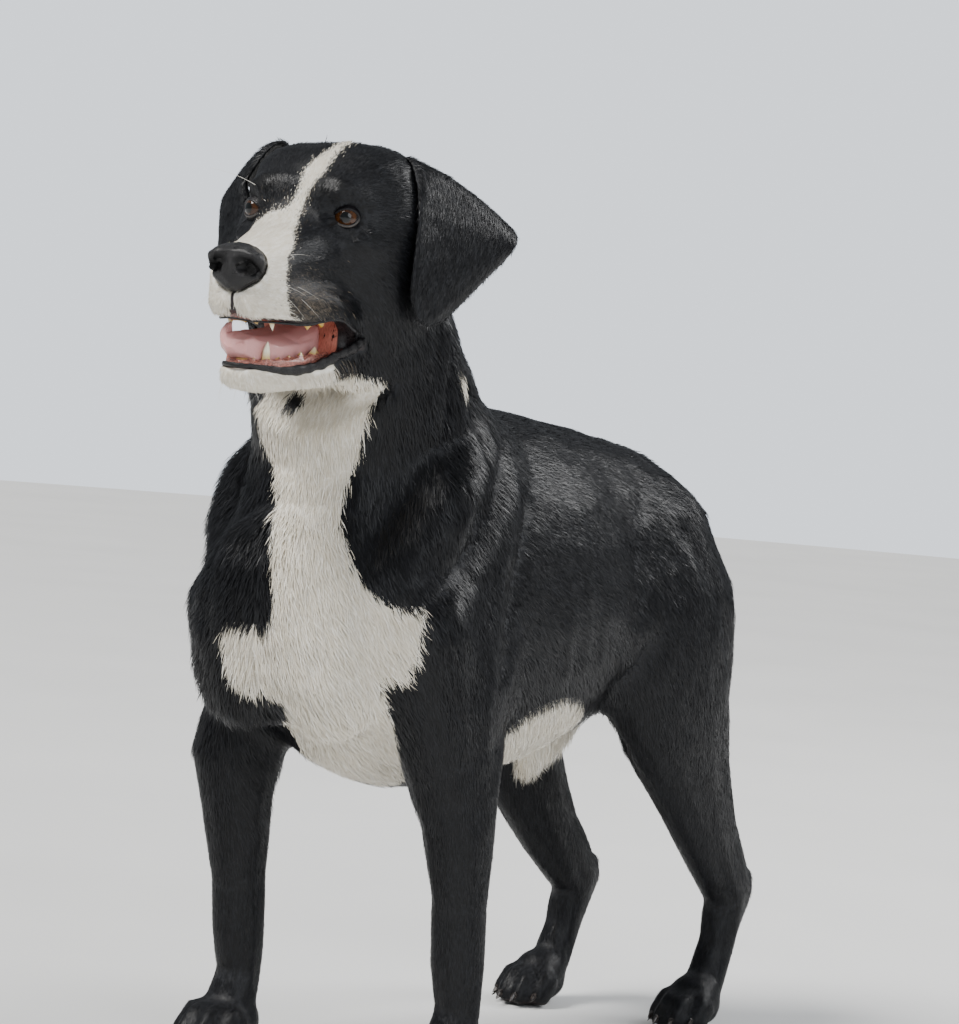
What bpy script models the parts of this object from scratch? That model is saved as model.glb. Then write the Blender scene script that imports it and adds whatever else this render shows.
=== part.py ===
"""A short-coated, broad-chested dog standing at life size, as closed solids in metres.

The dog looks along -Y, its left side is at +X, and it stands on z = 0. The flesh is one smooth
form: rounded masses named for the bones and muscles beneath them, flowing into each other.
Blender's Remesh modifier wraps the masses in one surface, the surface settles onto the flowing
form, and thin cuts then part it into the head, jaw, neck, trunk, legs and tail.
"""

import math

import bmesh
import bpy
import numpy as np
from mathutils import Matrix, Vector

# ---------------------------------------------------------------- driving dimensions, in metres

LIFE_SIZE = 0.92  # the masses are drawn about 0.61 m high at the withers; the dog is 0.56 m
CENTRING = (0.0016, 0.0281, 0.0)  # moves the middle of the whole dog's box over the origin
CUT = 0.0004  # width of the cuts that part the flesh
MOUTH_GAP = 0.0006  # the same in the mouth, whose folded hollow defeats the exact solver
MOUTH_SOLVER = "MANIFOLD"
WELD = 0.00004  # edges shorter than this, left by a cut, close up
LEAST_LEFT = 0.995  # the least share of the flesh that a cut leaves
GAP = 0.00035  # space between a piece and what it is set into

HEAD_SIZE = 1.125  # the head's own frame, drawn at size 1, is enlarged by this
HEAD_AT = (0.037, -0.342, 0.757)  # the point between the eyes
HEAD_TURN = (10.7, 7.2, 1.0)  # degrees: to its left, nose down, tilt
EYE_RADIUS = 0.0128
CLAW_LENGTH = 0.012
EAR_THICK = 0.0075

BODY_VOXEL = 0.008
HEAD_VOXEL = 0.0038
PAW_VOXEL = 0.0034
SMALL_VOXEL = 0.0016
TEETH_VOXEL = 0.0011
CLAW_VOXEL = 0.0008

BODY_TRIANGLES = 2300
HEAD_TRIANGLES = 1250
PAW_TRIANGLES = 300
EAR_TRIANGLES = 200
NOSE_TRIANGLES = 160
TEETH_TRIANGLES = 330
TONGUE_TRIANGLES = 120
CLAW_TRIANGLES = 18

SIDES = (("left", 1), ("right", -1))
NECK_CUT = (0.030, -0.215, 0.690)  # where the head leaves the neck, and the way it faces there
NECK_FACING = (0.08, -0.83, 0.557)
HIND_PAW_FACING = (0, -0.45, -0.85)

# ---------------------------------------------------------------- rounded masses


def unit(vector):
    vector = np.asarray(vector, float)
    return vector / np.linalg.norm(vector)


class Egg:
    """An ellipsoid mass. aim is the way its third radius points, across the way its first does."""

    def __init__(self, centre, radii, aim=(0, 0, 1), across=(1, 0, 0), flow=0.02):
        self.centre = np.asarray(centre, float)
        self.radii = np.asarray(radii, float)
        self.flow = flow
        up = unit(aim)
        side = unit(np.asarray(across, float) - np.dot(across, up) * up)
        self.axes = np.stack([side, np.cross(up, side), up])

    def moved(self, place):
        self.centre = place.point(self.centre)
        self.radii = self.radii * place.size
        self.axes = self.axes @ place.turn.T
        self.flow *= place.size
        return self

    def distance(self, points):
        local = (points - self.centre) @ self.axes.T
        reach = np.linalg.norm(local, axis=1) + 1e-9
        share = np.linalg.norm(local / self.radii, axis=1) + 1e-9
        return reach * (1 - 1 / share)

    def beads(self):
        yield self.centre, self.axes, self.radii


class Limb:
    """A mass swept along a smooth line through stations of (centre, half width, half depth).

    The half depth may be a pair: towards the section's up side, then away from it. Up is square
    to the line and to the way across: the back of a leg that runs down, the throat of a neck
    that runs up, the underside of a muzzle that runs forward.
    """

    def __init__(self, *stations, across=(1, 0, 0), flow=0.02, boxy=2.0, cap=1.0, fine=5):
        self.flow = flow
        self.boxy = boxy
        self.cap = cap
        rows = [[*place, wide, *np.broadcast_to(deep, 2)] for place, wide, deep in stations]
        rows = smooth_rows(np.array(rows, float), fine)
        self.line = rows[:, :3]
        self.wide, self.deep_up, self.deep_down = rows[:, 3], rows[:, 4], rows[:, 5]
        along = np.gradient(self.line, axis=0)
        self.along = along / np.linalg.norm(along, axis=1)[:, None]
        self.across = np.asarray(across, float)
        self.set_frames()

    def set_frames(self):
        side = self.across - (self.along @ self.across)[:, None] * self.along
        self.side = side / np.linalg.norm(side, axis=1)[:, None]
        self.up = np.cross(self.side, self.along)

    def moved(self, place):
        self.line = place.point(self.line)
        self.wide = self.wide * place.size
        self.deep_up = self.deep_up * place.size
        self.deep_down = self.deep_down * place.size
        self.along = self.along @ place.turn.T
        self.across = place.turn @ self.across
        self.flow *= place.size
        self.set_frames()
        return self

    def distance(self, points):
        square = (self.line**2).sum(1) - 2 * points @ self.line.T
        near = square.argmin(1)
        step = ((points - self.line[near]) * self.along[near]).sum(1)
        last = len(self.line) - 1
        spacing = np.linalg.norm(np.diff(self.line, axis=0), axis=1)
        ahead = np.append(spacing, spacing[-1])[near]
        behind = np.insert(spacing, 0, spacing[0])[near]
        share = np.clip(np.where(step > 0, step / ahead, step / behind), -0.5, 0.5)
        at = np.clip(near + share, 0, last)
        low = np.minimum(at.astype(int), last - 1)
        part = at - low

        def between(values):
            weight = part if values.ndim == 1 else part[:, None]
            return values[low] * (1 - weight) + values[low + 1] * weight

        away = points - between(self.line)
        outside = (near == 0) & (step < 0) | (near == last) & (step > 0)
        beyond = np.where(outside, np.abs(step), 0.0)
        x = (away * between(self.side)).sum(1)
        y = (away * between(self.up)).sum(1)
        wide = between(self.wide)
        deep = np.where(y > 0, between(self.deep_up), between(self.deep_down))
        cap = np.minimum(wide, deep) * self.cap
        flat = (np.abs(x / wide) ** self.boxy + np.abs(y / deep) ** self.boxy) ** (1 / self.boxy)
        share = np.sqrt(flat**2 + (beyond / cap) ** 2) + 1e-9
        reach = np.sqrt(x * x + y * y + beyond**2) + 1e-9
        return reach * (1 - 1 / share)

    def beads(self):
        for i in range(len(self.line)):
            deep = (self.deep_up[i] + self.deep_down[i]) / 2
            centre = self.line[i] + self.up[i] * (self.deep_up[i] - self.deep_down[i]) / 2
            axes = np.stack([self.side[i], self.up[i], self.along[i]])
            thick = min(self.wide[i], deep) * self.cap
            yield centre, axes, np.array([self.wide[i], deep, thick])


def smooth_rows(rows, fine):
    """The rows with fine steps between each two of them, on a Catmull-Rom curve."""
    padded = np.vstack([2 * rows[0] - rows[1], rows, 2 * rows[-1] - rows[-2]])
    found = []
    for i in range(len(rows) - 1):
        a, b, c, d = padded[i : i + 4]
        for t in np.arange(fine) / fine:
            even = 2 * b + (c - a) * t
            bend = (2 * a - 5 * b + 4 * c - d) * t**2
            twist = (3 * b - a - 3 * c + d) * t**3
            found.append((even + bend + twist) / 2)
    found.append(rows[-1])
    return np.array(found)


class Place:
    """Where masses that are drawn in a frame of their own go on the dog. Angles in degrees."""

    def __init__(self, at=(0, 0, 0), turn=(0, 0, 0), size=1.0):
        yaw, pitch, roll = (math.radians(angle) for angle in turn)
        rotation = Matrix.Rotation(yaw, 3, "Z") @ Matrix.Rotation(pitch, 3, "X")
        self.turn = np.array(rotation @ Matrix.Rotation(roll, 3, "Y"))
        self.at = np.asarray(at, float)
        self.size = size

    def point(self, point):
        return np.asarray(point, float) @ self.turn.T * self.size + self.at

    def matrix(self):
        scaled = Matrix(self.turn.tolist()).to_4x4() @ Matrix.Scale(self.size, 4)
        return Matrix.Translation(self.at) @ scaled


def joined(found, gap, flow):
    blend = np.clip(0.5 + 0.5 * (found - gap) / flow, 0, 1)
    return found * (1 - blend) + gap * blend - flow * blend * (1 - blend)


class Form:
    """Masses that flow into each other, with others scooped out, over a floor at z = 0."""

    def __init__(self, masses, hollows=()):
        self.masses = masses
        self.hollows = hollows

    def distance(self, points):
        found = self.masses[0].distance(points)
        for mass in self.masses[1:]:
            found = joined(found, mass.distance(points), mass.flow)
        for hollow in self.hollows:
            found = -joined(-found, hollow.distance(points), hollow.flow)
        return found

    def settled(self, points, rounds, reach):
        """The points moved onto the surface, no further than reach in a round."""
        points = points.copy()
        nudge = 0.0005
        for _ in range(rounds):
            here = self.distance(points)
            slope = np.empty_like(points)
            for axis in range(3):
                beside = points.copy()
                beside[:, axis] += nudge
                slope[:, axis] = (self.distance(beside) - here) / nudge
            steep = np.linalg.norm(slope, axis=1) + 1e-6
            move = np.clip(here / steep, -reach, reach) / steep
            points -= slope * move[:, None]
        return points


# ---------------------------------------------------------------- Blender helpers


def collection(name):
    found = bpy.data.collections.new(name)
    bpy.context.scene.collection.children.link(found)
    return found


def add_object(name, mesh, group):
    made = bpy.data.objects.new(name, mesh)
    group.objects.link(made)
    return made


def evaluated_mesh(made):
    depsgraph = bpy.context.evaluated_depsgraph_get()
    return bpy.data.meshes.new_from_object(made.evaluated_get(depsgraph), depsgraph=depsgraph)


def apply_modifiers(made):
    mesh = evaluated_mesh(made)
    made.modifiers.clear()
    old = made.data
    made.data = mesh
    bpy.data.meshes.remove(old)


def modify(made, kind, **values):
    modifier = made.modifiers.new(kind.title(), kind)
    for key, value in values.items():
        setattr(modifier, key, value)
    apply_modifiers(made)


def get_points(mesh):
    points = np.empty(len(mesh.vertices) * 3, np.float32)
    mesh.vertices.foreach_get("co", points)
    return points.reshape(-1, 3).astype(float)


def set_points(mesh, points):
    mesh.vertices.foreach_set("co", points.astype(np.float32).ravel())
    mesh.update()


def beads_mesh(masses):
    """Every mass as overlapping ellipsoids."""
    bm = bmesh.new()
    for mass in masses:
        for centre, axes, radii in mass.beads():
            shape = Matrix((axes.T * radii).tolist()).to_4x4()
            shape.translation = Vector(centre)
            bmesh.ops.create_icosphere(bm, subdivisions=2, radius=1.0, matrix=shape)
    mesh = bpy.data.meshes.new("beads")
    bm.to_mesh(mesh)
    bm.free()
    return mesh


def triangle_count(mesh):
    return sum(len(face.vertices) - 2 for face in mesh.polygons)


def wrap(name, form, masses, voxel, triangles, floor=False):
    """A surface of about so many triangles over the masses, lying on the form."""
    made = add_object(name, beads_mesh(masses), WORK)
    for rounds in (5, 3):
        modify(made, "REMESH", mode="VOXEL", voxel_size=voxel, adaptivity=0.0)
        set_points(made.data, form.settled(get_points(made.data), rounds, voxel))
    share = triangles / triangle_count(made.data)
    modify(made, "DECIMATE", ratio=share)
    points = get_points(made.data)
    if floor:
        points[:, 2] = np.maximum(points[:, 2], 0)
    set_points(made.data, points)
    return made


def boolean(made, other, solver="EXACT"):
    modifier = made.modifiers.new("Cut", "BOOLEAN")
    modifier.operation = "DIFFERENCE"
    modifier.solver = solver
    modifier.object = other
    apply_modifiers(made)
    bm = bmesh.new()
    bm.from_mesh(made.data)
    bmesh.ops.dissolve_degenerate(bm, dist=WELD, edges=bm.edges)
    bm.to_mesh(made.data)
    bm.free()


def hidden(made):
    made.hide_render = True
    made.display_type = "WIRE"
    return made


def disc(at, facing, radius, thick=CUT):
    """A thin plate that parts the flesh, square to the way it faces."""
    bm = bmesh.new()
    turn = Vector(facing).to_track_quat("Z", "Y").to_matrix().to_4x4()
    matrix = Matrix.Translation(at) @ turn
    bmesh.ops.create_cone(
        bm, cap_ends=True, segments=32, radius1=radius, radius2=radius, depth=thick, matrix=matrix
    )
    mesh = bpy.data.meshes.new("plate")
    bm.to_mesh(mesh)
    bm.free()
    return hidden(add_object("plate", mesh, CUTTERS))


def loose_parts(made):
    """The points of each separate body of the mesh, as lists of vertex numbers."""
    mesh = made.data
    group = np.arange(len(mesh.vertices))
    ends = np.empty(len(mesh.edges) * 2, np.int32)
    mesh.edges.foreach_get("vertices", ends)
    ends = ends.reshape(-1, 2)
    while True:
        lowest = np.minimum(group[ends[:, 0]], group[ends[:, 1]])
        before = group.copy()
        np.minimum.at(group, ends[:, 0], lowest)
        np.minimum.at(group, ends[:, 1], lowest)
        group = group[group]
        if (group == before).all():
            return [np.flatnonzero(group == head) for head in np.unique(group)]


def kept_part(made, keep, name):
    """A new object with only the body of the mesh that has these vertices."""
    bm = bmesh.new()
    bm.from_mesh(made.data)
    bm.verts.ensure_lookup_table()
    keep = set(keep.tolist())
    unwanted = [vertex for vertex in bm.verts if vertex.index not in keep]
    bmesh.ops.delete(bm, geom=unwanted, context="VERTS")
    mesh = bpy.data.meshes.new(name)
    bm.to_mesh(mesh)
    bm.free()
    return add_object(name, mesh, DOG)


def volume(made):
    bm = bmesh.new()
    bm.from_mesh(made.data)
    found = bm.calc_volume()
    bm.free()
    return found


def cut(made, plate):
    """The exact solver cuts; where it loses flesh beside the plate, the manifold one does."""
    whole = made.data.copy()
    before = volume(made)
    boolean(made, plate)
    if volume(made) < LEAST_LEFT * before:
        made.data = whole
        boolean(made, plate, solver="MANIFOLD")


def part_at(made, plates, seeds):
    """Cut the flesh with the plates and name the body that lies nearest to each seed."""
    for plate in plates:
        cut(made, plate)
    points = get_points(made.data)
    bodies = loose_parts(made)
    found = {}
    for name, seed in seeds.items():
        away = [np.linalg.norm(points[body].mean(0) - seed) for body in bodies]
        nearest = int(np.argmin(away))
        found[name] = kept_part(made, bodies.pop(nearest), name)
    bpy.data.objects.remove(made)
    return found


def largest_body(made):
    bodies = loose_parts(made)
    if len(bodies) > 1:
        bm = bmesh.new()
        bm.from_mesh(made.data)
        bm.verts.ensure_lookup_table()
        keep = set(max(bodies, key=len).tolist())
        unwanted = [vertex for vertex in bm.verts if vertex.index not in keep]
        bmesh.ops.delete(bm, geom=unwanted, context="VERTS")
        bm.to_mesh(made.data)
        bm.free()


def set_into(piece, host, space=GAP, solver="EXACT"):
    """Cut away of the piece what the host fills, with a little space between them."""
    cutter = hidden(add_object(host.name + "_room", host.data.copy(), CUTTERS))
    modify(cutter, "DISPLACE", strength=space, mid_level=0.0)
    boolean(piece, cutter, solver)
    largest_body(piece)


# ---------------------------------------------------------------- the trunk and the neck


def trunk_masses():
    spine = Limb(
        ((0, -0.290, 0.425), 0.082, (0.075, 0.070)),
        ((0, -0.250, 0.425), 0.096, (0.120, 0.105)),
        ((0, -0.200, 0.425), 0.108, (0.158, 0.145)),
        ((0, -0.120, 0.420), 0.120, (0.180, 0.168)),
        ((0, -0.030, 0.420), 0.126, (0.184, 0.164)),
        ((0, 0.060, 0.425), 0.121, (0.173, 0.145)),
        ((0, 0.140, 0.440), 0.105, (0.153, 0.122)),
        ((0, 0.210, 0.455), 0.091, (0.122, 0.102)),
        ((0, 0.270, 0.455), 0.076, (0.090, 0.085)),
        ((0, 0.312, 0.450), 0.056, (0.052, 0.056)),
        boxy=2.15,
        cap=0.45,
    )
    masses = [spine]
    for _, side in SIDES:
        masses += [
            Egg((side * 0.048, -0.268, 0.375), (0.050, 0.044, 0.068), flow=0.04),
            Egg((side * 0.038, 0.290, 0.452), (0.036, 0.044, 0.050), flow=0.03),
        ]
    masses.append(
        Limb(((0, 0.200, 0.345), 0.022, 0.022), ((0, 0.145, 0.298), 0.022, 0.026),
             ((0, 0.104, 0.262), 0.011, 0.014), flow=0.02)
    )
    return masses


NECK_STATIONS = (
    ((0, -0.130, 0.460), 0.100, (0.125, 0.110)),
    ((0, -0.165, 0.560), 0.106, (0.120, 0.098)),
    ((0.006, -0.205, 0.635), 0.100, (0.106, 0.080)),
    ((0.020, -0.244, 0.700), 0.086, (0.090, 0.070)),
    ((0.034, -0.266, 0.755), 0.072, (0.078, 0.066)),
)


def neck_masses():
    return [Limb(*NECK_STATIONS, flow=0.05)]


def ruff_masses(side):
    """The roll of longer coat round the base of the neck, which ends in a crease behind it."""
    return [
        Limb(
            ((side * 0.038, -0.104, 0.588), 0.021, 0.021),
            ((side * 0.080, -0.152, 0.566), 0.031, 0.031),
            ((side * 0.096, -0.194, 0.528), 0.037, 0.037),
            ((side * 0.094, -0.224, 0.482), 0.035, 0.035),
            ((side * 0.074, -0.258, 0.444), 0.028, 0.028),
            flow=0.014,
        )
    ]


def tail_masses():
    return [
        Limb(
            ((0, 0.285, 0.490), 0.032, 0.030),
            ((0.003, 0.332, 0.468), 0.027, 0.026),
            ((0.012, 0.366, 0.415), 0.022, 0.022),
            ((0.018, 0.378, 0.340), 0.020, 0.020),
            ((0.018, 0.376, 0.260), 0.016, 0.016),
            ((0.014, 0.366, 0.190), 0.008, 0.008),
            flow=0.02,
        )
    ]


# ---------------------------------------------------------------- the legs

# The middle of each leg's joints. The dog stands with its left fore leg a little behind the
# right one, and its right hind leg a little before the left one.
FORE = {
    "left": {
        "shoulder": (0.100, -0.222, 0.410), "elbow": (0.107, -0.155, 0.280),
        "forearm": (0.114, -0.150, 0.231), "shank": (0.114, -0.141, 0.167),
        "wrist": (0.112, -0.134, 0.115), "pastern": (0.112, -0.130, 0.072),
        "paw": (0.113, -0.150, 0.026),
    },
    "right": {
        "shoulder": (-0.096, -0.215, 0.405), "elbow": (-0.113, -0.188, 0.276),
        "forearm": (-0.110, -0.187, 0.228), "shank": (-0.111, -0.176, 0.160),
        "wrist": (-0.111, -0.170, 0.112), "pastern": (-0.112, -0.165, 0.071),
        "paw": (-0.113, -0.186, 0.026),
    },
}
HIND = {
    "left": {
        "hip": (0.062, 0.210, 0.490), "thigh": (0.079, 0.212, 0.425),
        "stifle": (0.084, 0.230, 0.335), "calf": (0.083, 0.270, 0.260),
        "shin": (0.081, 0.318, 0.190), "hock": (0.080, 0.360, 0.134),
        "shank": (0.080, 0.352, 0.085), "pastern": (0.081, 0.334, 0.045),
        "paw": (0.082, 0.304, 0.024),
    },
    "right": {
        "hip": (-0.062, 0.205, 0.490), "thigh": (-0.079, 0.196, 0.425),
        "stifle": (-0.084, 0.192, 0.335), "calf": (-0.083, 0.214, 0.262),
        "shin": (-0.081, 0.268, 0.185), "hock": (-0.080, 0.322, 0.128),
        "shank": (-0.081, 0.316, 0.083), "pastern": (-0.082, 0.300, 0.045),
        "paw": (-0.083, 0.270, 0.024),
    },
}
TOES = (  # sideways from the paw's middle, forward, half width
    (-0.0245, -0.018, 0.0108),
    (-0.0090, -0.032, 0.0112),
    (0.0090, -0.032, 0.0112),
    (0.0245, -0.018, 0.0108),
)
FORE_PAW_SIZE = 1.04
HIND_PAW_SIZE = 0.94


def beside(point, x=0.0, y=0.0, z=0.0):
    return (point[0] + x, point[1] + y, point[2] + z)


def fore_masses(name, side):
    joint = FORE[name]
    return [
        Limb(
            ((side * 0.056, -0.100, 0.550), 0.030, 0.050),
            ((side * 0.080, -0.150, 0.490), 0.042, 0.062),
            (joint["shoulder"], 0.044, 0.054),
            flow=0.03,
        ),
        Limb(
            (joint["shoulder"], 0.046, 0.052),
            (beside(joint["shoulder"], x=side * 0.006, y=0.032, z=-0.065), 0.044, 0.055),
            (joint["elbow"], 0.037, 0.044),
            flow=0.025,
        ),
        Egg(
            beside(joint["elbow"], x=-side * 0.004, y=0.012, z=0.090), (0.036, 0.052, 0.085),
            aim=(0, -0.25, 1), flow=0.03,
        ),
        Egg(beside(joint["elbow"], y=0.040, z=0.018), (0.018, 0.020, 0.024), flow=0.02),
        Limb(
            (joint["elbow"], 0.036, (0.042, 0.042)),
            (joint["forearm"], 0.034, (0.034, 0.038)),
            (joint["shank"], 0.026, (0.026, 0.027)),
            (joint["wrist"], 0.0255, (0.023, 0.026)),
            (joint["pastern"], 0.0225, (0.021, 0.020)),
            (beside(joint["paw"], y=0.014, z=0.010), 0.026, 0.022),
            flow=0.02,
        ),
        Egg(beside(joint["wrist"], y=0.020, z=-0.012), (0.009, 0.010, 0.012), flow=0.008),
    ]


def hind_masses(name, side):
    joint = HIND[name]
    return [
        Limb(
            (joint["hip"], 0.044, (0.060, 0.062)),
            (joint["thigh"], 0.050, (0.090, 0.092)),
            (joint["stifle"], 0.045, (0.084, 0.090)),
            (joint["calf"], 0.034, (0.059, 0.061)),
            (joint["shin"], 0.026, (0.042, 0.040)),
            (joint["hock"], 0.022, (0.031, 0.030)),
            (joint["shank"], 0.019, (0.021, 0.021)),
            (joint["pastern"], 0.021, (0.020, 0.019)),
            (beside(joint["paw"], y=0.010, z=0.008), 0.025, 0.022),
            flow=0.04,
        ),
        Egg(beside(joint["hock"], y=0.026, z=0.002), (0.014, 0.013, 0.020), aim=(0, 0.3, 1),
            flow=0.012),
    ]


def paw_masses(at, size=1.0):
    """Four arched toes round a pad, drawn about the middle of the paw, resting on the floor."""
    place = Place(at=(at[0], at[1], 0.0), size=size)
    masses = [Egg((0, 0.012, 0.022), (0.027, 0.032, 0.021), flow=0.01)]
    for x, y, wide in TOES:
        masses.append(
            Limb(
                ((x * 0.75, 0.000, 0.028), wide * 0.95, 0.016),
                ((x * 0.95, y + 0.014, 0.025), wide, 0.016),
                ((x, y, 0.013), wide * 0.95, (0.014, 0.0135)),
                flow=0.005,
            )
        )
    masses.append(Egg((0, -0.004, 0.004), (0.020, 0.026, 0.008), flow=0.004))
    return [mass.moved(place) for mass in masses]


# ---------------------------------------------------------------- the head, in its own frame

HEAD = Place(HEAD_AT, HEAD_TURN, HEAD_SIZE)
EYES = {"left": (0.0342, 0.0056, -0.0008), "right": (-0.0398, 0.0056, 0.0)}  # their middles


def head_masses():
    masses = [
        Limb(
            ((0, 0.000, -0.014), 0.040, (0.041, 0.036)),
            ((0, 0.024, -0.014), 0.057, (0.056, 0.046)),
            ((0, 0.056, -0.014), 0.062, (0.056, 0.050)),
            ((0, 0.090, -0.014), 0.055, (0.047, 0.050)),
            ((0, 0.114, -0.016), 0.036, (0.032, 0.036)),
            boxy=2.9, cap=0.35,
        ),
        Limb(
            ((0, 0.040, -0.032), 0.050, (0.038, 0.040)),
            ((0, 0.005, -0.034), 0.043, (0.040, 0.037)),
            ((0, -0.030, -0.038), 0.0365, (0.035, 0.034)),
            ((0, -0.062, -0.041), 0.0310, (0.030, 0.0285)),
            ((0, -0.090, -0.042), 0.0265, (0.026, 0.0255)),
            flow=0.025, boxy=2.5, cap=0.5,
        ),
        Limb(
            ((0, -0.090, -0.1135), 0.016, 0.0105),
            ((0, -0.070, -0.1180), 0.024, 0.0105),
            ((0, -0.044, -0.1180), 0.031, 0.0115),
            ((0, -0.012, -0.1130), 0.040, 0.0170),
            ((0, 0.036, -0.1000), 0.048, 0.0300),
            flow=0.008, boxy=2.4,
        ),
        Egg((0, 0.075, -0.070), (0.052, 0.050, 0.056), flow=0.03),
    ]
    for _, side in SIDES:
        masses += [
            Egg((side * 0.028, 0.009, 0.014), (0.021, 0.022, 0.016), flow=0.016),
            Egg((side * 0.035, 0.056, 0.025), (0.026, 0.040, 0.021), flow=0.014),
            Egg((side * 0.046, 0.018, -0.019), (0.016, 0.026, 0.012), flow=0.012),
            Egg((side * 0.051, 0.048, -0.008), (0.018, 0.034, 0.018), flow=0.014),
            Egg((side * 0.045, 0.050, -0.050), (0.025, 0.042, 0.044), flow=0.02),
            Limb(
                ((side * 0.010, -0.094, -0.0580), 0.011, 0.012),
                ((side * 0.021, -0.080, -0.0610), 0.011, 0.013),
                ((side * 0.029, -0.052, -0.0640), 0.011, 0.014),
                ((side * 0.036, -0.022, -0.0650), 0.011, 0.014),
                ((side * 0.038, 0.004, -0.0780), 0.011, 0.016),
                flow=0.01,
            ),
        ]
    return masses


def eye_hollows():
    return [
        Egg((EYES[name][0] + side * 0.0050, -0.0080, -0.0004), (0.0135, 0.0135, 0.0090), flow=0.005)
        for name, side in SIDES
    ]


def mouth_hollows():
    """The open mouth: through both cheeks between the lips, and up and down inside them."""
    return [
        Limb(
            ((0, -0.160, -0.087), 0.090, 0.0165),
            ((0, -0.090, -0.0885), 0.090, 0.0165),
            ((0, -0.050, -0.0935), 0.090, 0.0165),
            ((0, -0.020, -0.0905), 0.090, 0.0160),
            ((0, -0.001, -0.0935), 0.090, 0.0075),
            ((0, 0.014, -0.0965), 0.090, 0.0020),
            flow=0.004, boxy=3.0, cap=0.3,
        ),
        Limb(
            ((0, -0.084, -0.083), 0.016, 0.022),
            ((0, -0.060, -0.088), 0.025, 0.026),
            ((0, -0.020, -0.089), 0.034, 0.026),
            ((0, 0.020, -0.088), 0.027, 0.018),
            flow=0.004, boxy=2.5,
        ),
    ]


def nose_masses():
    masses = [
        Egg((0, -0.0960, -0.0300), (0.0205, 0.0145, 0.0150), flow=0.008),
        Egg((0, -0.1020, -0.0420), (0.0110, 0.0070, 0.0085), flow=0.010),
    ]
    for _, side in SIDES:
        masses.append(Egg((side * 0.0122, -0.0995, -0.0310), (0.0105, 0.0105, 0.0118), flow=0.006))
    return masses


def nostrils():
    return [
        Egg((side * 0.0110, -0.1130, -0.0330), (0.0045, 0.0080, 0.0042), flow=0.003)
        for _, side in SIDES
    ]


def tongue_masses():
    """It lies between the canine teeth; its tip is over the front ones, curled up on the right."""
    return [
        Limb(
            ((-0.0030, -0.0880, -0.0935), 0.0095, 0.0040),
            ((-0.0010, -0.0780, -0.0960), 0.0088, 0.0044),
            ((0, -0.0600, -0.0985), 0.0120, 0.0052),
            ((0, -0.0350, -0.0990), 0.0140, 0.0056),
            ((0, -0.0120, -0.0950), 0.0140, 0.0056),
            ((0, 0.0020, -0.0910), 0.0120, 0.0050),
            boxy=2.5,
        ),
        Limb(
            ((-0.0080, -0.0915, -0.0915), 0.0038, 0.0045),
            ((-0.0130, -0.0880, -0.0875), 0.0038, 0.0065),
            ((-0.0125, -0.0840, -0.0865), 0.0034, 0.0055),
            flow=0.006,
        ),
    ]


# Each jaw's row of teeth from the middle backward, on one side: along the arch as a share of
# its length, height, half width along the arch, half width across it.
UPPER_TEETH = (
    (0.008, 0.0045, 0.0021, 0.0020), (0.035, 0.0045, 0.0021, 0.0020), (0.085, 0.005, 0.0024, 0.0022),
    (0.25, 0.0090, 0.0036, 0.0030), (0.40, 0.0045, 0.0034, 0.0022), (0.52, 0.0060, 0.0044, 0.0026),
    (0.68, 0.0110, 0.0068, 0.0036), (0.85, 0.0105, 0.0080, 0.0042),
)
LOWER_TEETH = (
    (0.008, 0.0035, 0.0020, 0.0020), (0.030, 0.0035, 0.0020, 0.0020), (0.070, 0.004, 0.0022, 0.0022),
    (0.20, 0.0150, 0.0036, 0.0032), (0.36, 0.0030, 0.0034, 0.0022), (0.49, 0.0035, 0.0042, 0.0024),
    (0.64, 0.0045, 0.0050, 0.0028), (0.82, 0.0060, 0.0074, 0.0036),
)


def arch_point(share, front, back, wide):
    """A point of a jaw's arch on its left side: a parabola opening backward."""
    x = wide * math.sin(share * math.pi / 2) ** 0.5
    return x, front + (back - front) * share**1.35


def jaw_row(teeth, height, way, front, back, wide):
    """A ridge of gum along a jaw with its teeth. way is 1 where they point up, -1 for down."""
    masses = []
    for _, side in SIDES:
        stations = []
        for share in (0.0, 0.03, 0.12, 0.3, 0.5, 0.75, 1.0):
            x, y = arch_point(share, front, back, wide)
            stations.append(((side * x, y, height - way * 0.004), 0.0042, 0.0060))
        masses.append(Limb(*stations, across=(0.35, -1, 0), flow=0.004))
    for _, side in SIDES:
        for share, tall, long, thick in teeth:
            x, y = arch_point(share, front, back, wide)
            beyond = np.array(arch_point(share + 0.01, front, back, wide))
            along = beyond - (x, y)
            along = np.array([side * along[0], along[1], 0])
            root = (side * x, y, height)
            tip = (side * x * 1.02, y + 0.15 * tall, height + way * tall)
            middle = np.add(root, tip) / 2
            masses.append(
                Limb((root, long, thick), (middle, long * 0.85, thick * 0.8),
                     (tip, long * 0.35, thick * 0.35), across=along, flow=0.0012, fine=3)
            )
    return masses


def upper_teeth_masses():
    """With the roof of the mouth, which holds both sides of the row together."""
    roof = Limb(((0, -0.080, -0.0665), 0.012, 0.0045), ((0, -0.060, -0.0655), 0.022, 0.0045),
                ((0, -0.020, -0.0655), 0.028, 0.0045), boxy=3.0)
    return [roof, *jaw_row(UPPER_TEETH, -0.0700, -1, -0.0880, -0.0020, 0.0280)]


def lower_teeth_masses():
    return jaw_row(LOWER_TEETH, -0.1040, 1, -0.0870, -0.0040, 0.0260)


# ---------------------------------------------------------------- the ears

EAR_SWING = {"left": np.zeros(3), "right": np.array([0.013, -0.026, 0.012])}  # out and forward
EAR_LIFT = {"left": np.zeros(3), "right": np.array([0.0, 0.0, 0.007])}  # of the fold


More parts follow.
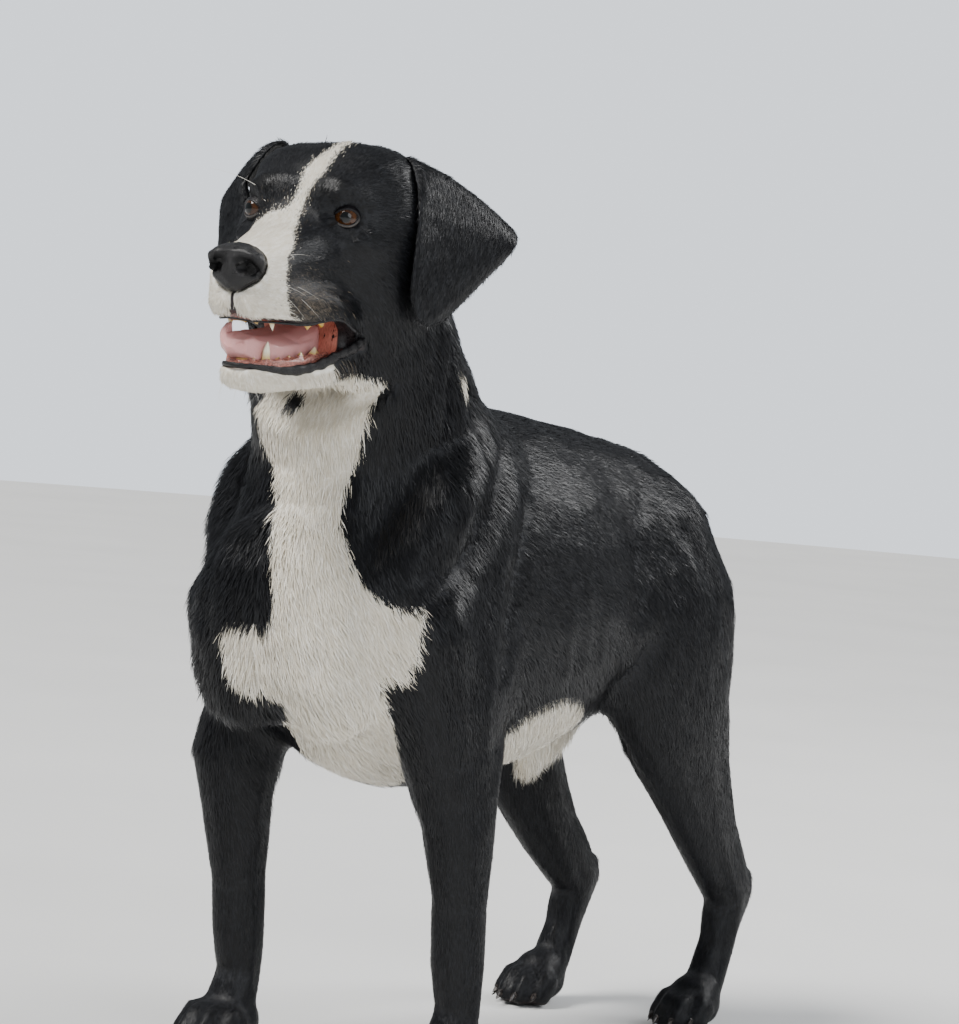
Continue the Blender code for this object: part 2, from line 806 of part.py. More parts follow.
def ear_point(u, v, swing, lift):
    """A point of the left ear's leather: u from its front edge to its back edge, v from the
    skull over the fold (0.35) down to the hem (1)."""
    base = blend_points((0.046, 0.064, 0.032), (0.050, 0.112, 0.008), u)
    fold = blend_points((0.060, 0.062, 0.044), (0.113, 0.144, -0.017), u)
    fold = fold + np.array([0.004, 0.0, 0.006]) * math.sin(u * math.pi) + u * swing + lift
    hem = curve_point(HEM, u) + (0.3 + 0.7 * u) * swing
    if v < FOLD_AT:
        share = v / FOLD_AT
        arch = np.array([0.0, 0.0, 0.006]) * math.sin(share * math.pi)
        return base * (1 - share) + fold * share + arch
    share = (v - FOLD_AT) / (1 - FOLD_AT)
    belly = np.array([0.007, -0.004, 0.002]) * math.sin(share * math.pi)
    return fold * (1 - share) + hem * share + belly


FOLD_AT = 0.30
HEM = (  # the free lower edge, from the front edge past the tip to the back corner
    (0.0795, 0.022, -0.056), (0.0810, 0.030, -0.080), (0.0850, 0.050, -0.089),
    (0.0900, 0.074, -0.078), (0.0980, 0.102, -0.056), (0.1080, 0.132, -0.034),
)


def blend_points(a, b, share):
    return np.asarray(a, float) * (1 - share) + np.asarray(b, float) * share


def curve_point(points, share):
    at = share * (len(points) - 1)
    low = min(int(at), len(points) - 2)
    return blend_points(points[low], points[low + 1], at - low)


def make_ear(name, side):
    node = "ear_" + name
    bm = bmesh.new()
    bmesh.ops.create_grid(bm, x_segments=6, y_segments=7, size=0.5)
    for vertex in bm.verts:
        x, y, z = ear_point(vertex.co.x + 0.5, vertex.co.y + 0.5, EAR_SWING[name],
                            EAR_LIFT[name])
        vertex.co = HEAD.matrix() @ Vector((side * x, y, z))
    if side < 0:
        bmesh.ops.reverse_faces(bm, faces=bm.faces)
    mesh = bpy.data.meshes.new(node)
    bm.to_mesh(mesh)
    bm.free()
    ear = add_object(node, mesh, DOG)
    modify(ear, "SOLIDIFY", thickness=EAR_THICK, offset=0.0)
    modify(ear, "SUBSURF", levels=1, render_levels=1)
    modify(ear, "DECIMATE", ratio=EAR_TRIANGLES / triangle_count(ear.data))
    return ear


# ---------------------------------------------------------------- building


PAINTS = (  # the start of a node's name, its colour, its roughness
    ("eye", (0.090, 0.035, 0.012), 0.05),
    ("claw", (0.020, 0.018, 0.017), 0.35),
    ("nose", (0.012, 0.012, 0.013), 0.30),
    ("tongue", (0.550, 0.200, 0.190), 0.35),
    ("upper_teeth", (0.780, 0.720, 0.560), 0.25),
    ("lower_teeth", (0.780, 0.720, 0.560), 0.25),
    ("lower_jaw", (0.620, 0.590, 0.540), 0.60),
    ("", (0.014, 0.014, 0.015), 0.45),
)


def paint(made):
    """Each piece has a material of its own, in the colour that most of the piece has."""
    _, colour, roughness = next(row for row in PAINTS if made.name.startswith(row[0]))
    material = bpy.data.materials.new(made.name)
    material.use_nodes = True
    shader = material.node_tree.nodes["Principled BSDF"]
    shader.inputs["Base Color"].default_value = (*colour, 1.0)
    shader.inputs["Roughness"].default_value = roughness
    made.data.materials.clear()
    made.data.materials.append(material)


def placed(masses, place):
    return [mass.moved(place) for mass in masses]


def body_plates():
    plates = [
        disc(NECK_CUT, NECK_FACING, 0.165),
        disc((0, -0.200, 0.540), (0, -0.537, 0.844), 0.185),
        disc((0, 0.046, 0.430), (0, 1, 0), 0.220),
        disc((0.013, 0.371, 0.400), (0.10, 0.15, -1), 0.034),
    ]
    for name, side in SIDES:
        fore, hind = FORE[name], HIND[name]
        plates += [
            disc(fore_paw_cut(name), (0, 0, 1), 0.042),
            disc(beside(fore["elbow"], x=side * 0.004, z=-0.020), (0, 0, 1), 0.052),
            disc(beside(fore["shoulder"], x=-side * 0.001, y=0.040, z=-0.010),
                 (side * 0.895, -0.298, -0.331), 0.165),
            disc(hind_paw_cut(name), HIND_PAW_FACING, 0.040),
            disc(beside(hind["hock"], y=-0.008, z=0.022), (0, 0.60, -0.80), 0.046),
            disc(beside(hind["stifle"], y=0.014, z=-0.055), (0, 0.35, -0.94), 0.092),
            disc(beside(hind["thigh"], z=0.005), (side * 0.90, 0.30, -0.20), 0.172),
        ]
    return plates


def fore_paw_cut(name):
    return beside(FORE[name]["pastern"], y=-0.004, z=-0.016)


def hind_paw_cut(name):
    return beside(HIND[name]["pastern"], y=-0.004, z=0.002)


def part_body(form, masses):
    body = wrap("flesh of the body", form, masses, BODY_VOXEL, BODY_TRIANGLES)
    seeds = {
        "neck": (0.01, -0.20, 0.62), "chest": (0, -0.10, 0.42), "loin": (0, 0.20, 0.45),
        "tail": (0.017, 0.375, 0.29),
    }
    for name, side in SIDES:
        fore, hind = FORE[name], HIND[name]
        seeds["upper_arm_" + name] = beside(fore["shoulder"], x=side * 0.02, y=0.03, z=-0.05)
        seeds["forearm_" + name] = fore["shank"]
        seeds["thigh_" + name] = beside(hind["thigh"], z=-0.05)
        seeds["lower_leg_" + name] = hind["calf"]
        seeds["hind_shank_" + name] = hind["shank"]
    return part_at(body, body_plates(), seeds)


def part_head(form, masses):
    stub = Limb(*NECK_STATIONS[-2:], flow=0.05)
    flesh = wrap("flesh of the head", form, [*masses, stub], HEAD_VOXEL, HEAD_TRIANGLES)
    jaw_cut = HEAD.point((0, 0.030, -0.125))
    plates = [
        disc(NECK_CUT, NECK_FACING, 0.165),
        disc(jaw_cut, HEAD.turn @ np.array([0, 0.650, 0.760]), 0.070),
    ]
    seeds = {"head": HEAD.point((0, 0.02, -0.03)), "lower_jaw": HEAD.point((0, -0.03, -0.12))}
    return part_at(flesh, plates, seeds)


def part_paw(name, joint, cut_at, size, leg, facing):
    masses = paw_masses(joint["paw"], size)
    ankle = Limb((beside(joint["pastern"], z=0.018), 0.021, 0.020), (joint["paw"], 0.020, 0.018))
    flesh = wrap("flesh of the " + name, Form(leg + masses), [ankle, *masses], PAW_VOXEL,
                 PAW_TRIANGLES, floor=True)
    return part_at(flesh, [disc(cut_at, facing, 0.060)], {name: beside(joint["paw"], z=-0.004)})[name]


def make_claws(prefix, at, size, paw):
    """A small curved cone at the end of each toe."""
    for number, (x, y, wide) in enumerate(TOES, start=1):
        root = np.array([at[0] + x * size, at[1] + (y - 0.006) * size, 0.015 * size])
        claw = Limb(
            (root, 0.0030, 0.0040),
            (root + (0, -0.5 * CLAW_LENGTH, -0.002), 0.0026, 0.0034),
            (root + (0, -CLAW_LENGTH, -0.007), 0.0010, 0.0012),
        )
        name = f"{prefix}_{number}"
        made = wrap(name, Form([claw]), [claw], CLAW_VOXEL, CLAW_TRIANGLES)
        made = named(made, name)
        set_into(made, paw)


def named(made, name):
    """The object, moved among the dog's own under its name."""
    made.name = name
    made.data.name = name
    WORK.objects.unlink(made)
    DOG.objects.link(made)
    return made


def make_small(name, masses, triangles, voxel=SMALL_VOXEL, hollows=()):
    return named(wrap(name, Form(masses, hollows), masses, voxel, triangles), name)


def make_eye(name):
    node = "eye_" + name
    bm = bmesh.new()
    centre = HEAD.point(EYES[name])
    bmesh.ops.create_uvsphere(
        bm, u_segments=12, v_segments=8, radius=EYE_RADIUS, matrix=Matrix.Translation(centre)
    )
    mesh = bpy.data.meshes.new(node)
    bm.to_mesh(mesh)
    bm.free()
    return add_object(node, mesh, DOG)


def build():
    legs = {}
    for name, side in SIDES:
        legs["fore_" + name] = fore_masses(name, side)
        legs["hind_" + name] = hind_masses(name, side)
    neck = neck_masses()
    ruff = [mass for _, side in SIDES for mass in ruff_masses(side)]
    body = trunk_masses() + neck + tail_masses() + sum(legs.values(), []) + ruff
    paws = []
    for name, _ in SIDES:
        paws += paw_masses(FORE[name]["paw"], FORE_PAW_SIZE)
        paws += paw_masses(HIND[name]["paw"], HIND_PAW_SIZE)
    head = placed(head_masses(), HEAD)
    hollows = placed(mouth_hollows() + eye_hollows(), HEAD)

    made = part_body(Form(body + head), body)
    made |= part_head(Form(neck + ruff + head, hollows), head)
    for name, _ in SIDES:
        fore, hind = FORE[name], HIND[name]
        node = "fore_paw_" + name
        made[node] = part_paw(node, fore, fore_paw_cut(name), FORE_PAW_SIZE,
                              legs["fore_" + name], (0, 0, 1))
        make_claws("claw_fore_" + name, fore["paw"], FORE_PAW_SIZE, made[node])
        node = "hind_paw_" + name
        made[node] = part_paw(node, hind, hind_paw_cut(name), HIND_PAW_SIZE,
                              legs["hind_" + name], HIND_PAW_FACING)
        make_claws("claw_hind_" + name, hind["paw"], HIND_PAW_SIZE, made[node])

    upper = make_small("upper_teeth", placed(upper_teeth_masses(), HEAD), TEETH_TRIANGLES,
                       TEETH_VOXEL)
    lower = make_small("lower_teeth", placed(lower_teeth_masses(), HEAD), TEETH_TRIANGLES,
                       TEETH_VOXEL)
    tongue = make_small("tongue", placed(tongue_masses(), HEAD), TONGUE_TRIANGLES)
    for piece in (upper, lower, tongue):
        set_into(piece, made["head"], MOUTH_GAP, MOUTH_SOLVER)
        set_into(piece, made["lower_jaw"], MOUTH_GAP, MOUTH_SOLVER)
    set_into(tongue, lower)
    nose = make_small("nose", placed(nose_masses(), HEAD), NOSE_TRIANGLES,
                      hollows=placed(nostrils(), HEAD))
    set_into(made["head"], nose)
    for name, side in SIDES:
        set_into(make_ear(name, side), made["head"])
        set_into(made["head"], make_eye(name))

    for piece in DOG.objects:
        piece.data.transform(Matrix.Translation(CENTRING) @ Matrix.Scale(LIFE_SIZE, 4))
        paint(piece)


for old in list(bpy.data.objects):
    bpy.data.objects.remove(old)
DOG = collection("dog")
WORK = collection("flesh before it is parted")
CUTTERS = collection("cutters")
build()
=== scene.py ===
"""A standing dog with a short glossy black and white coat: one skin over its flesh, tufts laid
along the body, eyes set in their lids, nose, open mouth, claws and whiskers, on a plain floor."""
import math

import bmesh
import bpy
import numpy as np
from mathutils import Euler, Matrix, Vector
from mathutils.bvhtree import BVHTree


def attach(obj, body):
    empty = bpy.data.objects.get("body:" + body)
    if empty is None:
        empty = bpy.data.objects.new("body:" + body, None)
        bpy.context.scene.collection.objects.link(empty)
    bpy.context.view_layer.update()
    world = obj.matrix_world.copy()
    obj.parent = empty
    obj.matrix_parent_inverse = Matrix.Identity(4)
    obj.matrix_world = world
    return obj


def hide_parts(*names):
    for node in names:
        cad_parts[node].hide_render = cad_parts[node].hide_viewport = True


bl_info = {
    "name": "Standing dog",
    "version": (1, 0, 0),
    "blender": (4, 5, 0),
    "location": "View3D > Sidebar > Dog",
    "description": "Dresses the dog's solids with skin, coat, eyes, mouth and claws",
    "category": "Object",
}

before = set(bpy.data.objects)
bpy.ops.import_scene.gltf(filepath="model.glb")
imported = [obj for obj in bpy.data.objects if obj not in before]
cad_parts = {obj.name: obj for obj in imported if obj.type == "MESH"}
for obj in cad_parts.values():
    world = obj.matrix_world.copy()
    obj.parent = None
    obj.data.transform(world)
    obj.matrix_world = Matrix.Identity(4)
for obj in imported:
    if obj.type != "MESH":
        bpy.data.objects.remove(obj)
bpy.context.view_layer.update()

MM = 0.001
SIDES = (("left", 1), ("right", -1))
BODY = "root"
BAKE_MAP = "OFBake"
EAR_STEP, NOSE_STEP, TONGUE_STEP, TEETH_STEP = 0.0016, 0.0008, 0.0009, 0.0006  # face sizes
FLOOR_GAP = 0.0002  # between the lowest skin and hair and the floor
FAR_OUT = -0.05  # what a field says far outside its shape

# The head has a frame of its own: the origin lies between the eyes, -Y is toward the nose.
HEAD = (
    Matrix.Translation((0.0356, -0.2865, 0.6964))
    @ Euler((0, 0, math.radians(10.7))).to_matrix().to_4x4()
    @ Euler((math.radians(7.2), 0, 0)).to_matrix().to_4x4()
    @ Euler((0, math.radians(1.0), 0)).to_matrix().to_4x4()
    @ Matrix.Scale(1.035, 4)
)
# Each eye's place, the axis of its opening, and the way it looks.
EYES = {"left": (0.0342, 0.0056, -0.0008), "right": (-0.0398, 0.0056, 0.0)}
EYE_AXIS = {"left": (0.50, -0.86, 0.10), "right": (-0.50, -0.86, 0.10)}
GAZE = {"left": (0.40, -0.91, 0.09), "right": (-0.38, -0.92, 0.09)}
EYE_RADIUS = 0.01178

FLESH = [
    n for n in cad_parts
    if n.split("_")[0] in ("head", "lower", "neck", "chest", "loin", "tail", "upper", "forearm",
                           "fore", "thigh", "hind")
    and "teeth" not in n
]
CLAWS = [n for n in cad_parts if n.startswith("claw_")]

# ---------------------------------------------------------------- numbers and meshes


def unit(rows):
    """Each row at length 1."""
    rows = np.asarray(rows, float)
    return rows / np.maximum(np.linalg.norm(rows, axis=-1, keepdims=True), 1e-12)


def to_head(points):
    """World points in the head's frame."""
    m = np.array(HEAD.inverted())
    return np.asarray(points) @ m[:3, :3].T + m[:3, 3]


def from_head(points):
    """Points of the head's frame in the world."""
    m = np.array(HEAD)
    return np.asarray(points) @ m[:3, :3].T + m[:3, 3]


def head_turn(directions):
    """Directions of the head's frame in the world."""
    return unit(np.asarray(directions) @ np.array(HEAD)[:3, :3].T)


def get(data, kind, width, dtype=np.float32):
    """One value of all these mesh elements, a row each."""
    out = np.empty(len(data) * width, dtype)
    data.foreach_get(kind, out)
    return out.reshape(-1, width) if width > 1 else out


def points_of(mesh):
    return get(mesh.vertices, "co", 3).astype(float)


def normals_of(mesh):
    return get(mesh.vertices, "normal", 3).astype(float)


def edges_of(mesh):
    return get(mesh.edges, "vertices", 2, np.int32)


def set_points(mesh, points):
    mesh.vertices.foreach_set("co", np.asarray(points, np.float32).ravel())
    mesh.update()


def new_mesh(name, points, loops, sizes):
    """A mesh from its points, the corners of its faces in a row, and each face's corner count."""
    mesh = bpy.data.meshes.new(name)
    mesh.vertices.add(len(points))
    mesh.vertices.foreach_set("co", np.asarray(points, np.float32).ravel())
    mesh.loops.add(len(loops))
    mesh.loops.foreach_set("vertex_index", np.asarray(loops, np.int32))
    mesh.polygons.add(len(sizes))
    starts = np.concatenate([[0], np.cumsum(sizes)[:-1]]).astype(np.int32)
    mesh.polygons.foreach_set("loop_start", starts)
    mesh.update(calc_edges=True)
    return mesh


def tube_faces(rows, columns):
    """The quads of a grid of points that is joined round its columns."""
    r, c = np.meshgrid(np.arange(rows - 1), np.arange(columns), indexing="ij")
    a = r * columns + c
    b = r * columns + (c + 1) % columns
    return np.stack([a, b, b + columns, a + columns], -1).reshape(-1, 4)


def quad_mesh(name, points, faces):
    """A mesh of four-sided faces."""
    return new_mesh(name, points, faces.ravel(), np.full(len(faces), 4))


def turn_outward(mesh, outward):
    """Flips the faces if they look inward."""
    if (normals_of(mesh) * outward).sum() < 0:
        mesh.flip_normals()


def skin_tree():
    """What finds the nearest place on the skin."""
    return BVHTree.FromObject(bpy.data.objects["skin"],
                              bpy.context.evaluated_depsgraph_get())


def put_attribute(mesh, name, values):
    """A value or a vector for each point, which the materials read by this name."""
    vector = np.ndim(values) == 2
    kind = "FLOAT_VECTOR" if vector else "FLOAT"
    layer = mesh.attributes.new(name, kind, "POINT")
    layer.data.foreach_set("vector" if vector else "value", np.asarray(values, np.float32).ravel())


def piece(name, mesh, material, replaces=(), smooth=True):
    """A shown piece of the dog, riding its body."""
    if not len(mesh.polygons):
        raise RuntimeError(name + " has no faces")
    mesh.name = name
    made = bpy.data.objects.new(name, mesh)
    bpy.context.scene.collection.objects.link(made)
    mesh.materials.clear()
    mesh.materials.append(material)
    if smooth:
        mesh.shade_smooth()
    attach(made, BODY)
    if replaces:
        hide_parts(*replaces)
    return made


def joined_nodes(names, spread=0.0):
    """The meshes of these solids in one, each pushed outward a little so that they meet."""
    points, loops, sizes, start = [], [], [], 0
    for name in names:
        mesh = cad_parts[name].data.copy()
        own = points_of(mesh) + normals_of(mesh) * spread
        points.append(own)
        loops.append(get(mesh.loops, "vertex_index", 1, np.int32) + start)
        sizes.append(get(mesh.polygons, "loop_total", 1, np.int32))
        start += len(own)
        bpy.data.meshes.remove(mesh)
    return new_mesh("solids", np.vstack(points), np.concatenate(loops), np.concatenate(sizes))


def evaluated(mesh, kind, **values):
    """The mesh after one modifier."""
    made = bpy.data.objects.new("being shaped", mesh)
    bpy.context.scene.collection.objects.link(made)
    modifier = made.modifiers.new(kind, kind)
    for key, value in values.items():
        setattr(modifier, key, value)
    out = bpy.data.meshes.new_from_object(
        made.evaluated_get(bpy.context.evaluated_depsgraph_get())
    )
    bpy.data.objects.remove(made)
    bpy.data.meshes.remove(mesh)
    return out


def largest_shell(mesh):
    """Only the shell with the most points, without the bubbles that a remesh leaves inside."""
    bm = bmesh.new()
    bm.from_mesh(mesh)
    bm.verts.ensure_lookup_table()
    seen = np.zeros(len(bm.verts), bool)
    best = []
    for start in bm.verts:
        if seen[start.index]:
            continue
        seen[start.index] = True
        shell, stack = [start], [start]
        while stack:
            for edge in stack.pop().link_edges:
                for vertex in edge.verts:
                    if not seen[vertex.index]:
                        seen[vertex.index] = True
                        shell.append(vertex)
                        stack.append(vertex)
        if len(shell) > len(best):
            best = shell
    best = set(best)
    bmesh.ops.delete(bm, geom=[v for v in bm.verts if v not in best], context="VERTS")
    bm.to_mesh(mesh)
    bm.free()
    return mesh


RELAX_STEPS = (0.5, -0.53)  # toward the neighbours, and back out so that the form keeps its size


def relax(points, edges, rounds, weight=1.0):
    """Evens the points out along the edges."""
    a, b = edges.T
    size = len(points)
    count = np.bincount(a, minlength=size) + np.bincount(b, minlength=size)
    count = np.maximum(count, 1)[:, None]
    weight = np.broadcast_to(np.asarray(weight, float), size)[:, None]
    for _ in range(rounds):
        for step in RELAX_STEPS:
            total = np.stack(
                [np.bincount(a, points[b, k], size) + np.bincount(b, points[a, k], size)
                 for k in range(3)], 1)
            points = points + step * weight * (total / count - points)
    return points


def remeshed(names, voxel, rounds, weight_of=None, spread=0.0):
    """One even, smoothed shell over these solids, smoothed by what weight_of gives each point."""
    mesh = evaluated(joined_nodes(names, spread), "REMESH", mode="VOXEL", voxel_size=voxel)
    mesh = largest_shell(mesh)
    points = points_of(mesh)
    weight = weight_of(points) if weight_of else 1.0
    set_points(mesh, relax(points, edges_of(mesh), rounds, weight))
    return mesh


def line_distance(points, line):
    """How far each point is from a polyline."""
    line = np.asarray(line, float)
    best = np.full(len(points), 1e9)
    for a, b in zip(line[:-1], line[1:]):
        d = b - a
        t = np.clip((points - a) @ d / max(d @ d, 1e-12), 0, 1)
        best = np.minimum(best, np.linalg.norm(points - a - t[:, None] * d, axis=1))
    return best


def sculpt(points, normals, strokes, own=None):
    """Raises or lowers the skin along strokes of (line, width, height), in the frame of own."""
    own = points if own is None else own
    lift = np.zeros(len(points))
    for line, width, height in strokes:
        line = np.asarray(line, float)
        near = np.flatnonzero(
            ((own > line.min(0) - 3 * width) & (own < line.max(0) + 3 * width)).all(1))
        if len(near):
            lift[near] += height * np.exp(-(line_distance(own[near], line) / width) ** 2)
    return points + normals * lift[:, None]


def mirrored(strokes):
    """Each stroke and its mirror image."""
    out = []
    for line, width, height in strokes:
        line = np.asarray(line, float)
        out += [(line, width, height), (line * (-1, 1, 1), width, height)]
    return out


def outline_field(points, outline):
    """The distance to a closed outline in a plane, positive inside it."""
    outline = np.asarray(outline, float)
    nearest = np.full(len(points), 1e9)
    inside = np.zeros(len(points), bool)
    x, y = points.T
    for a, b in zip(outline, np.roll(outline, -1, 0)):
        d = b - a
        t = np.clip((points - a) @ d / max(d @ d, 1e-12), 0, 1)
        nearest = np.minimum(nearest, np.linalg.norm(points - a - t[:, None] * d, axis=1))
        if a[1] != b[1]:
            crosses = (a[1] > y) != (b[1] > y)
            inside ^= crosses & (x < a[0] + (y - a[1]) * d[0] / d[1])
    return np.where(inside, nearest, -nearest)


def ramp(value, low, high):
    """0 at low and 1 at high, easing between them."""
    t = np.clip((value - low) / (high - low), 0, 1)
    return t * t * (3 - 2 * t)


# ---------------------------------------------------------------- where the coat is white

# Edges of the blaze and the muzzle in the head's frame, from the crown down to the lip.
BLAZE_LEFT = (
    (0.0130, 0.0640, 0.0520), (0.0148, 0.0305, 0.0478), (0.0151, 0.0094, 0.0371),
    (0.0160, -0.0033, 0.0295), (0.0118, -0.0101, 0.0212), (0.0092, -0.0137, 0.0129),
    (0.0083, -0.0186, 0.0048), (0.0107, -0.0263, -0.0011), (0.0170, -0.0443, -0.0094),
    (0.0238, -0.0561, -0.0180), (0.0270, -0.0700, -0.0264), (0.0285, -0.0735, -0.0359),
    (0.0289, -0.0755, -0.0455), (0.0307, -0.0785, -0.0532), (0.0323, -0.0775, -0.0596),
    (0.0327, -0.0735, -0.0684),
)
BLAZE_RIGHT = (
    (-0.0430, -0.0480, -0.0740), (-0.0400, -0.0480, -0.0550), (-0.0345, -0.0300, -0.0250),
    (-0.0294, -0.0190, -0.0048), (-0.0150, -0.0190, 0.0010), (-0.0068, -0.0190, 0.0045),
    (-0.0018, -0.0124, 0.0138), (0.0002, -0.0077, 0.0220), (-0.0022, 0.0024, 0.0311),
    (-0.0012, 0.0127, 0.0390), (0.0042, 0.0195, 0.0443), (0.0060, 0.0319, 0.0491),
    (0.0080, 0.0600, 0.0520),
)
MUZZLE_AXIS = -0.050  # height of the line that the head is unrolled about
MUZZLE_ROUND = 0.045

# The white of the throat and the chest from the front: sideways, and the height, which runs on
# backward under the chest.
CHEST_OUTLINE = (
    (0.0300, 0.5950), (0.0560, 0.5790), (0.0700, 0.5745), (0.0790, 0.5725), (0.0745, 0.5690),
    (0.0700, 0.5621), (0.0660, 0.5494), (0.0600, 0.5314), (0.0516, 0.5069), (0.0460, 0.4824),
    (0.0507, 0.4590), (0.0680, 0.4292), (0.0860, 0.4076), (0.1060, 0.3964), (0.1225, 0.3975),
    (0.1245, 0.3740), (0.1180, 0.3478), (0.1110, 0.3300), (0.0940, 0.3290), (0.0950, 0.3180),
    (0.0890, 0.2358), (0.0711, 0.1950), (0.0400, 0.1300), (0.0100, 0.1050), (-0.0240, 0.1500),
    (-0.0220, 0.2300), (-0.0160, 0.2495), (0.0100, 0.2880), (0.0200, 0.3120), (0.0014, 0.3165),
    (-0.0223, 0.3236), (-0.0280, 0.3474), (-0.0290, 0.3680), (-0.0153, 0.3711),
    (0.0125, 0.3700), (0.0206, 0.3926), (0.0115, 0.4233), (-0.0004, 0.4539), (-0.0140, 0.4848),
    (-0.0336, 0.5154), (-0.0429, 0.5308), (-0.0340, 0.5514), (-0.0300, 0.5950),
)
# Eggs by centre and half axes: a black spot in the white throat, then white spots in the black.
CHIN_SPOT = ((-0.0040, -0.2290, 0.5520), (0.0085, 0.0200, 0.0090))
NAPE_SPOT = ((0.0955, -0.1330, 0.5765), (0.010, 0.014, 0.011))
BELLY_WHITE = (
    ((0.0000, 0.0350, 0.2600), (0.260, 0.084, 0.060)),
    ((0.0000, 0.1300, 0.2650), (0.045, 0.080, 0.056)),
)


def unrolled(local):
    """The head's points unrolled about its long axis, onto a plane."""
    local = np.asarray(local, float)
    turn = np.arctan2(local[:, 0], local[:, 2] - MUZZLE_AXIS)
    return np.stack([turn * MUZZLE_ROUND, local[:, 1]], 1)


def egg_field(points, egg):
    """How far inside an egg of this centre and these half axes each point lies."""
    centre, radii = egg
    away = np.linalg.norm((points - centre) / np.array(radii), axis=1)
    return (1 - away) * min(radii)


def white_field(points):
    """How far inside the white each point lies, in metres, negative in the black."""
    local = to_head(points)
    edge = [*unrolled(BLAZE_LEFT), (0.110, -0.018), (0.128, -0.006), (0.160, -0.004),
            (0.160, -0.200), (-0.160, -0.200), (-0.160, -0.004), (-0.128, -0.006),
            (-0.110, -0.018), *unrolled(BLAZE_RIGHT)]
    face = outline_field(unrolled(local), edge)
    on_head = (local[:, 2] > -0.155) & (local[:, 1] < 0.09) & (np.abs(local[:, 0]) < 0.09)
    face = np.where(on_head, face, FAR_OUT)

    under = np.clip((0.36 - points[:, 2]) / 0.06, 0, 1)
    down = points[:, 2] - 0.8 * np.maximum(points[:, 1] + 0.25, 0) * under
    chest = outline_field(np.stack([points[:, 0], down], 1), CHEST_OUTLINE)
    chest = np.minimum(chest, -0.188 + 0.110 * under - points[:, 1])
    behind_chin = local[:, 1] > -0.024
    chest = np.where(behind_chin | (local[:, 2] < -0.16), chest, FAR_OUT)
    chest = np.minimum(chest, -egg_field(points, CHIN_SPOT))
    return np.max([face, chest, *(egg_field(points, egg) for egg in (NAPE_SPOT, *BELLY_WHITE))], 0)


# ---------------------------------------------------------------- the mouth, in the head's frame

# Along the muzzle: the height of the middle between the lips, and half the distance between them.
MOUTH_Y = (-0.160, -0.090, -0.050, -0.020, -0.001, 0.014)
MOUTH_MIDDLE = (-0.087, -0.0885, -0.0935, -0.0905, -0.0935, -0.0965)
MOUTH_HALF = (0.0165, 0.0165, 0.0165, 0.0160, 0.0075, 0.0020)
# Along the mouth behind them: half its width and half its height inside.
INSIDE_Y = (-0.095, -0.084, -0.060, -0.020, 0.020, 0.036)
INSIDE_WIDE = (0.004, 0.016, 0.025, 0.034, 0.027, 0.004)
INSIDE_TALL = (0.004, 0.020, 0.0235, 0.0235, 0.018, 0.004)


def mouth_masks(local):
    """How far each point lies inside the lips, and inside the mouth behind them."""
    across, along, up = np.abs(local[:, 0]), local[:, 1], local[:, 2]
    middle = np.interp(along, MOUTH_Y, MOUTH_MIDDLE)
    half = np.interp(along, MOUTH_Y, MOUTH_HALF)
    band = half + 0.0030 - np.abs(up - middle)
    on_lip = np.minimum(band, 0.021 - along)
    wide = np.interp(along, INSIDE_Y, INSIDE_WIDE)
    tall = np.interp(along, INSIDE_Y, INSIDE_TALL)
    inner = np.minimum(wide + 0.002 - across, tall + 0.0025 - np.abs(up + 0.0865))
    inner = np.minimum(inner, np.minimum(0.036 - along, along + 0.0965))
    cleft = 0.0014 + 0.0060 * ramp(-up, 0.058, 0.074) - across
    on_lip = np.where((up < -0.047) & (up > -0.078) & (along < -0.094),
                      np.maximum(on_lip, cleft), on_lip)
    near = (across < 0.06) & (along > -0.125) & (along < 0.04)
    return np.where(near, on_lip, FAR_OUT), np.where(near, inner, FAR_OUT)


# ---------------------------------------------------------------- folds of the skin

# Each a line, the fold's width, and its height, below 0 for a hollow.
FACE_FOLDS = mirrored([
    (((0.018, -0.006, 0.013), (0.030, 0.000, 0.019), (0.043, 0.010, 0.013)), 0.0055, 0.0016),
    (((0.022, -0.010, -0.012), (0.034, -0.004, -0.0165), (0.047, 0.008, -0.014)), 0.0035, -0.0009),
    (((0.021, -0.012, -0.006), (0.017, -0.024, -0.014), (0.021, -0.038, -0.024)), 0.0055, -0.0014),
    (((0.044, 0.012, -0.026), (0.056, 0.042, -0.028)), 0.010, 0.0014),
    (((0.047, 0.020, -0.010), (0.056, 0.034, 0.004)), 0.007, -0.0012),
    (((0.010, -0.103, -0.067), (0.024, -0.0799, -0.0700), (0.034, -0.0507, -0.0742),
      (0.042, -0.0297, -0.0700), (0.046, -0.0166, -0.0710), (0.0475, -0.001, -0.083)),
     0.0038, 0.0009),
    (((0.012, -0.094, -0.1080), (0.024, -0.0657, -0.1126), (0.034, -0.0283, -0.109),
      (0.042, -0.0085, -0.1021), (0.047, 0.010, -0.099)), 0.0032, 0.0013),
    (((0.049, 0.018, -0.078), (0.052, 0.025, -0.096), (0.047, 0.024, -0.112)), 0.0045, -0.0018),
    (((0.052, 0.030, -0.074), (0.056, 0.038, -0.096), (0.050, 0.036, -0.115)), 0.0065, 0.0015),
    (((0.030, -0.060, -0.034), (0.036, -0.035, -0.044), (0.043, -0.012, -0.058)), 0.007, -0.0010),
    (((0.026, -0.075, -0.052), (0.034, -0.045, -0.060)), 0.009, 0.0010),
]) + [
    (((0, -0.1130, -0.0500), (0, -0.1085, -0.0620), (0, -0.1010, -0.0700)), 0.0018, -0.0013),
    (((0, -0.010, 0.008), (0, 0.020, 0.032), (0, 0.055, 0.048)), 0.0075, -0.0012),
    (((0, -0.030, -0.001), (0, -0.075, -0.012)), 0.0060, -0.0006),
]

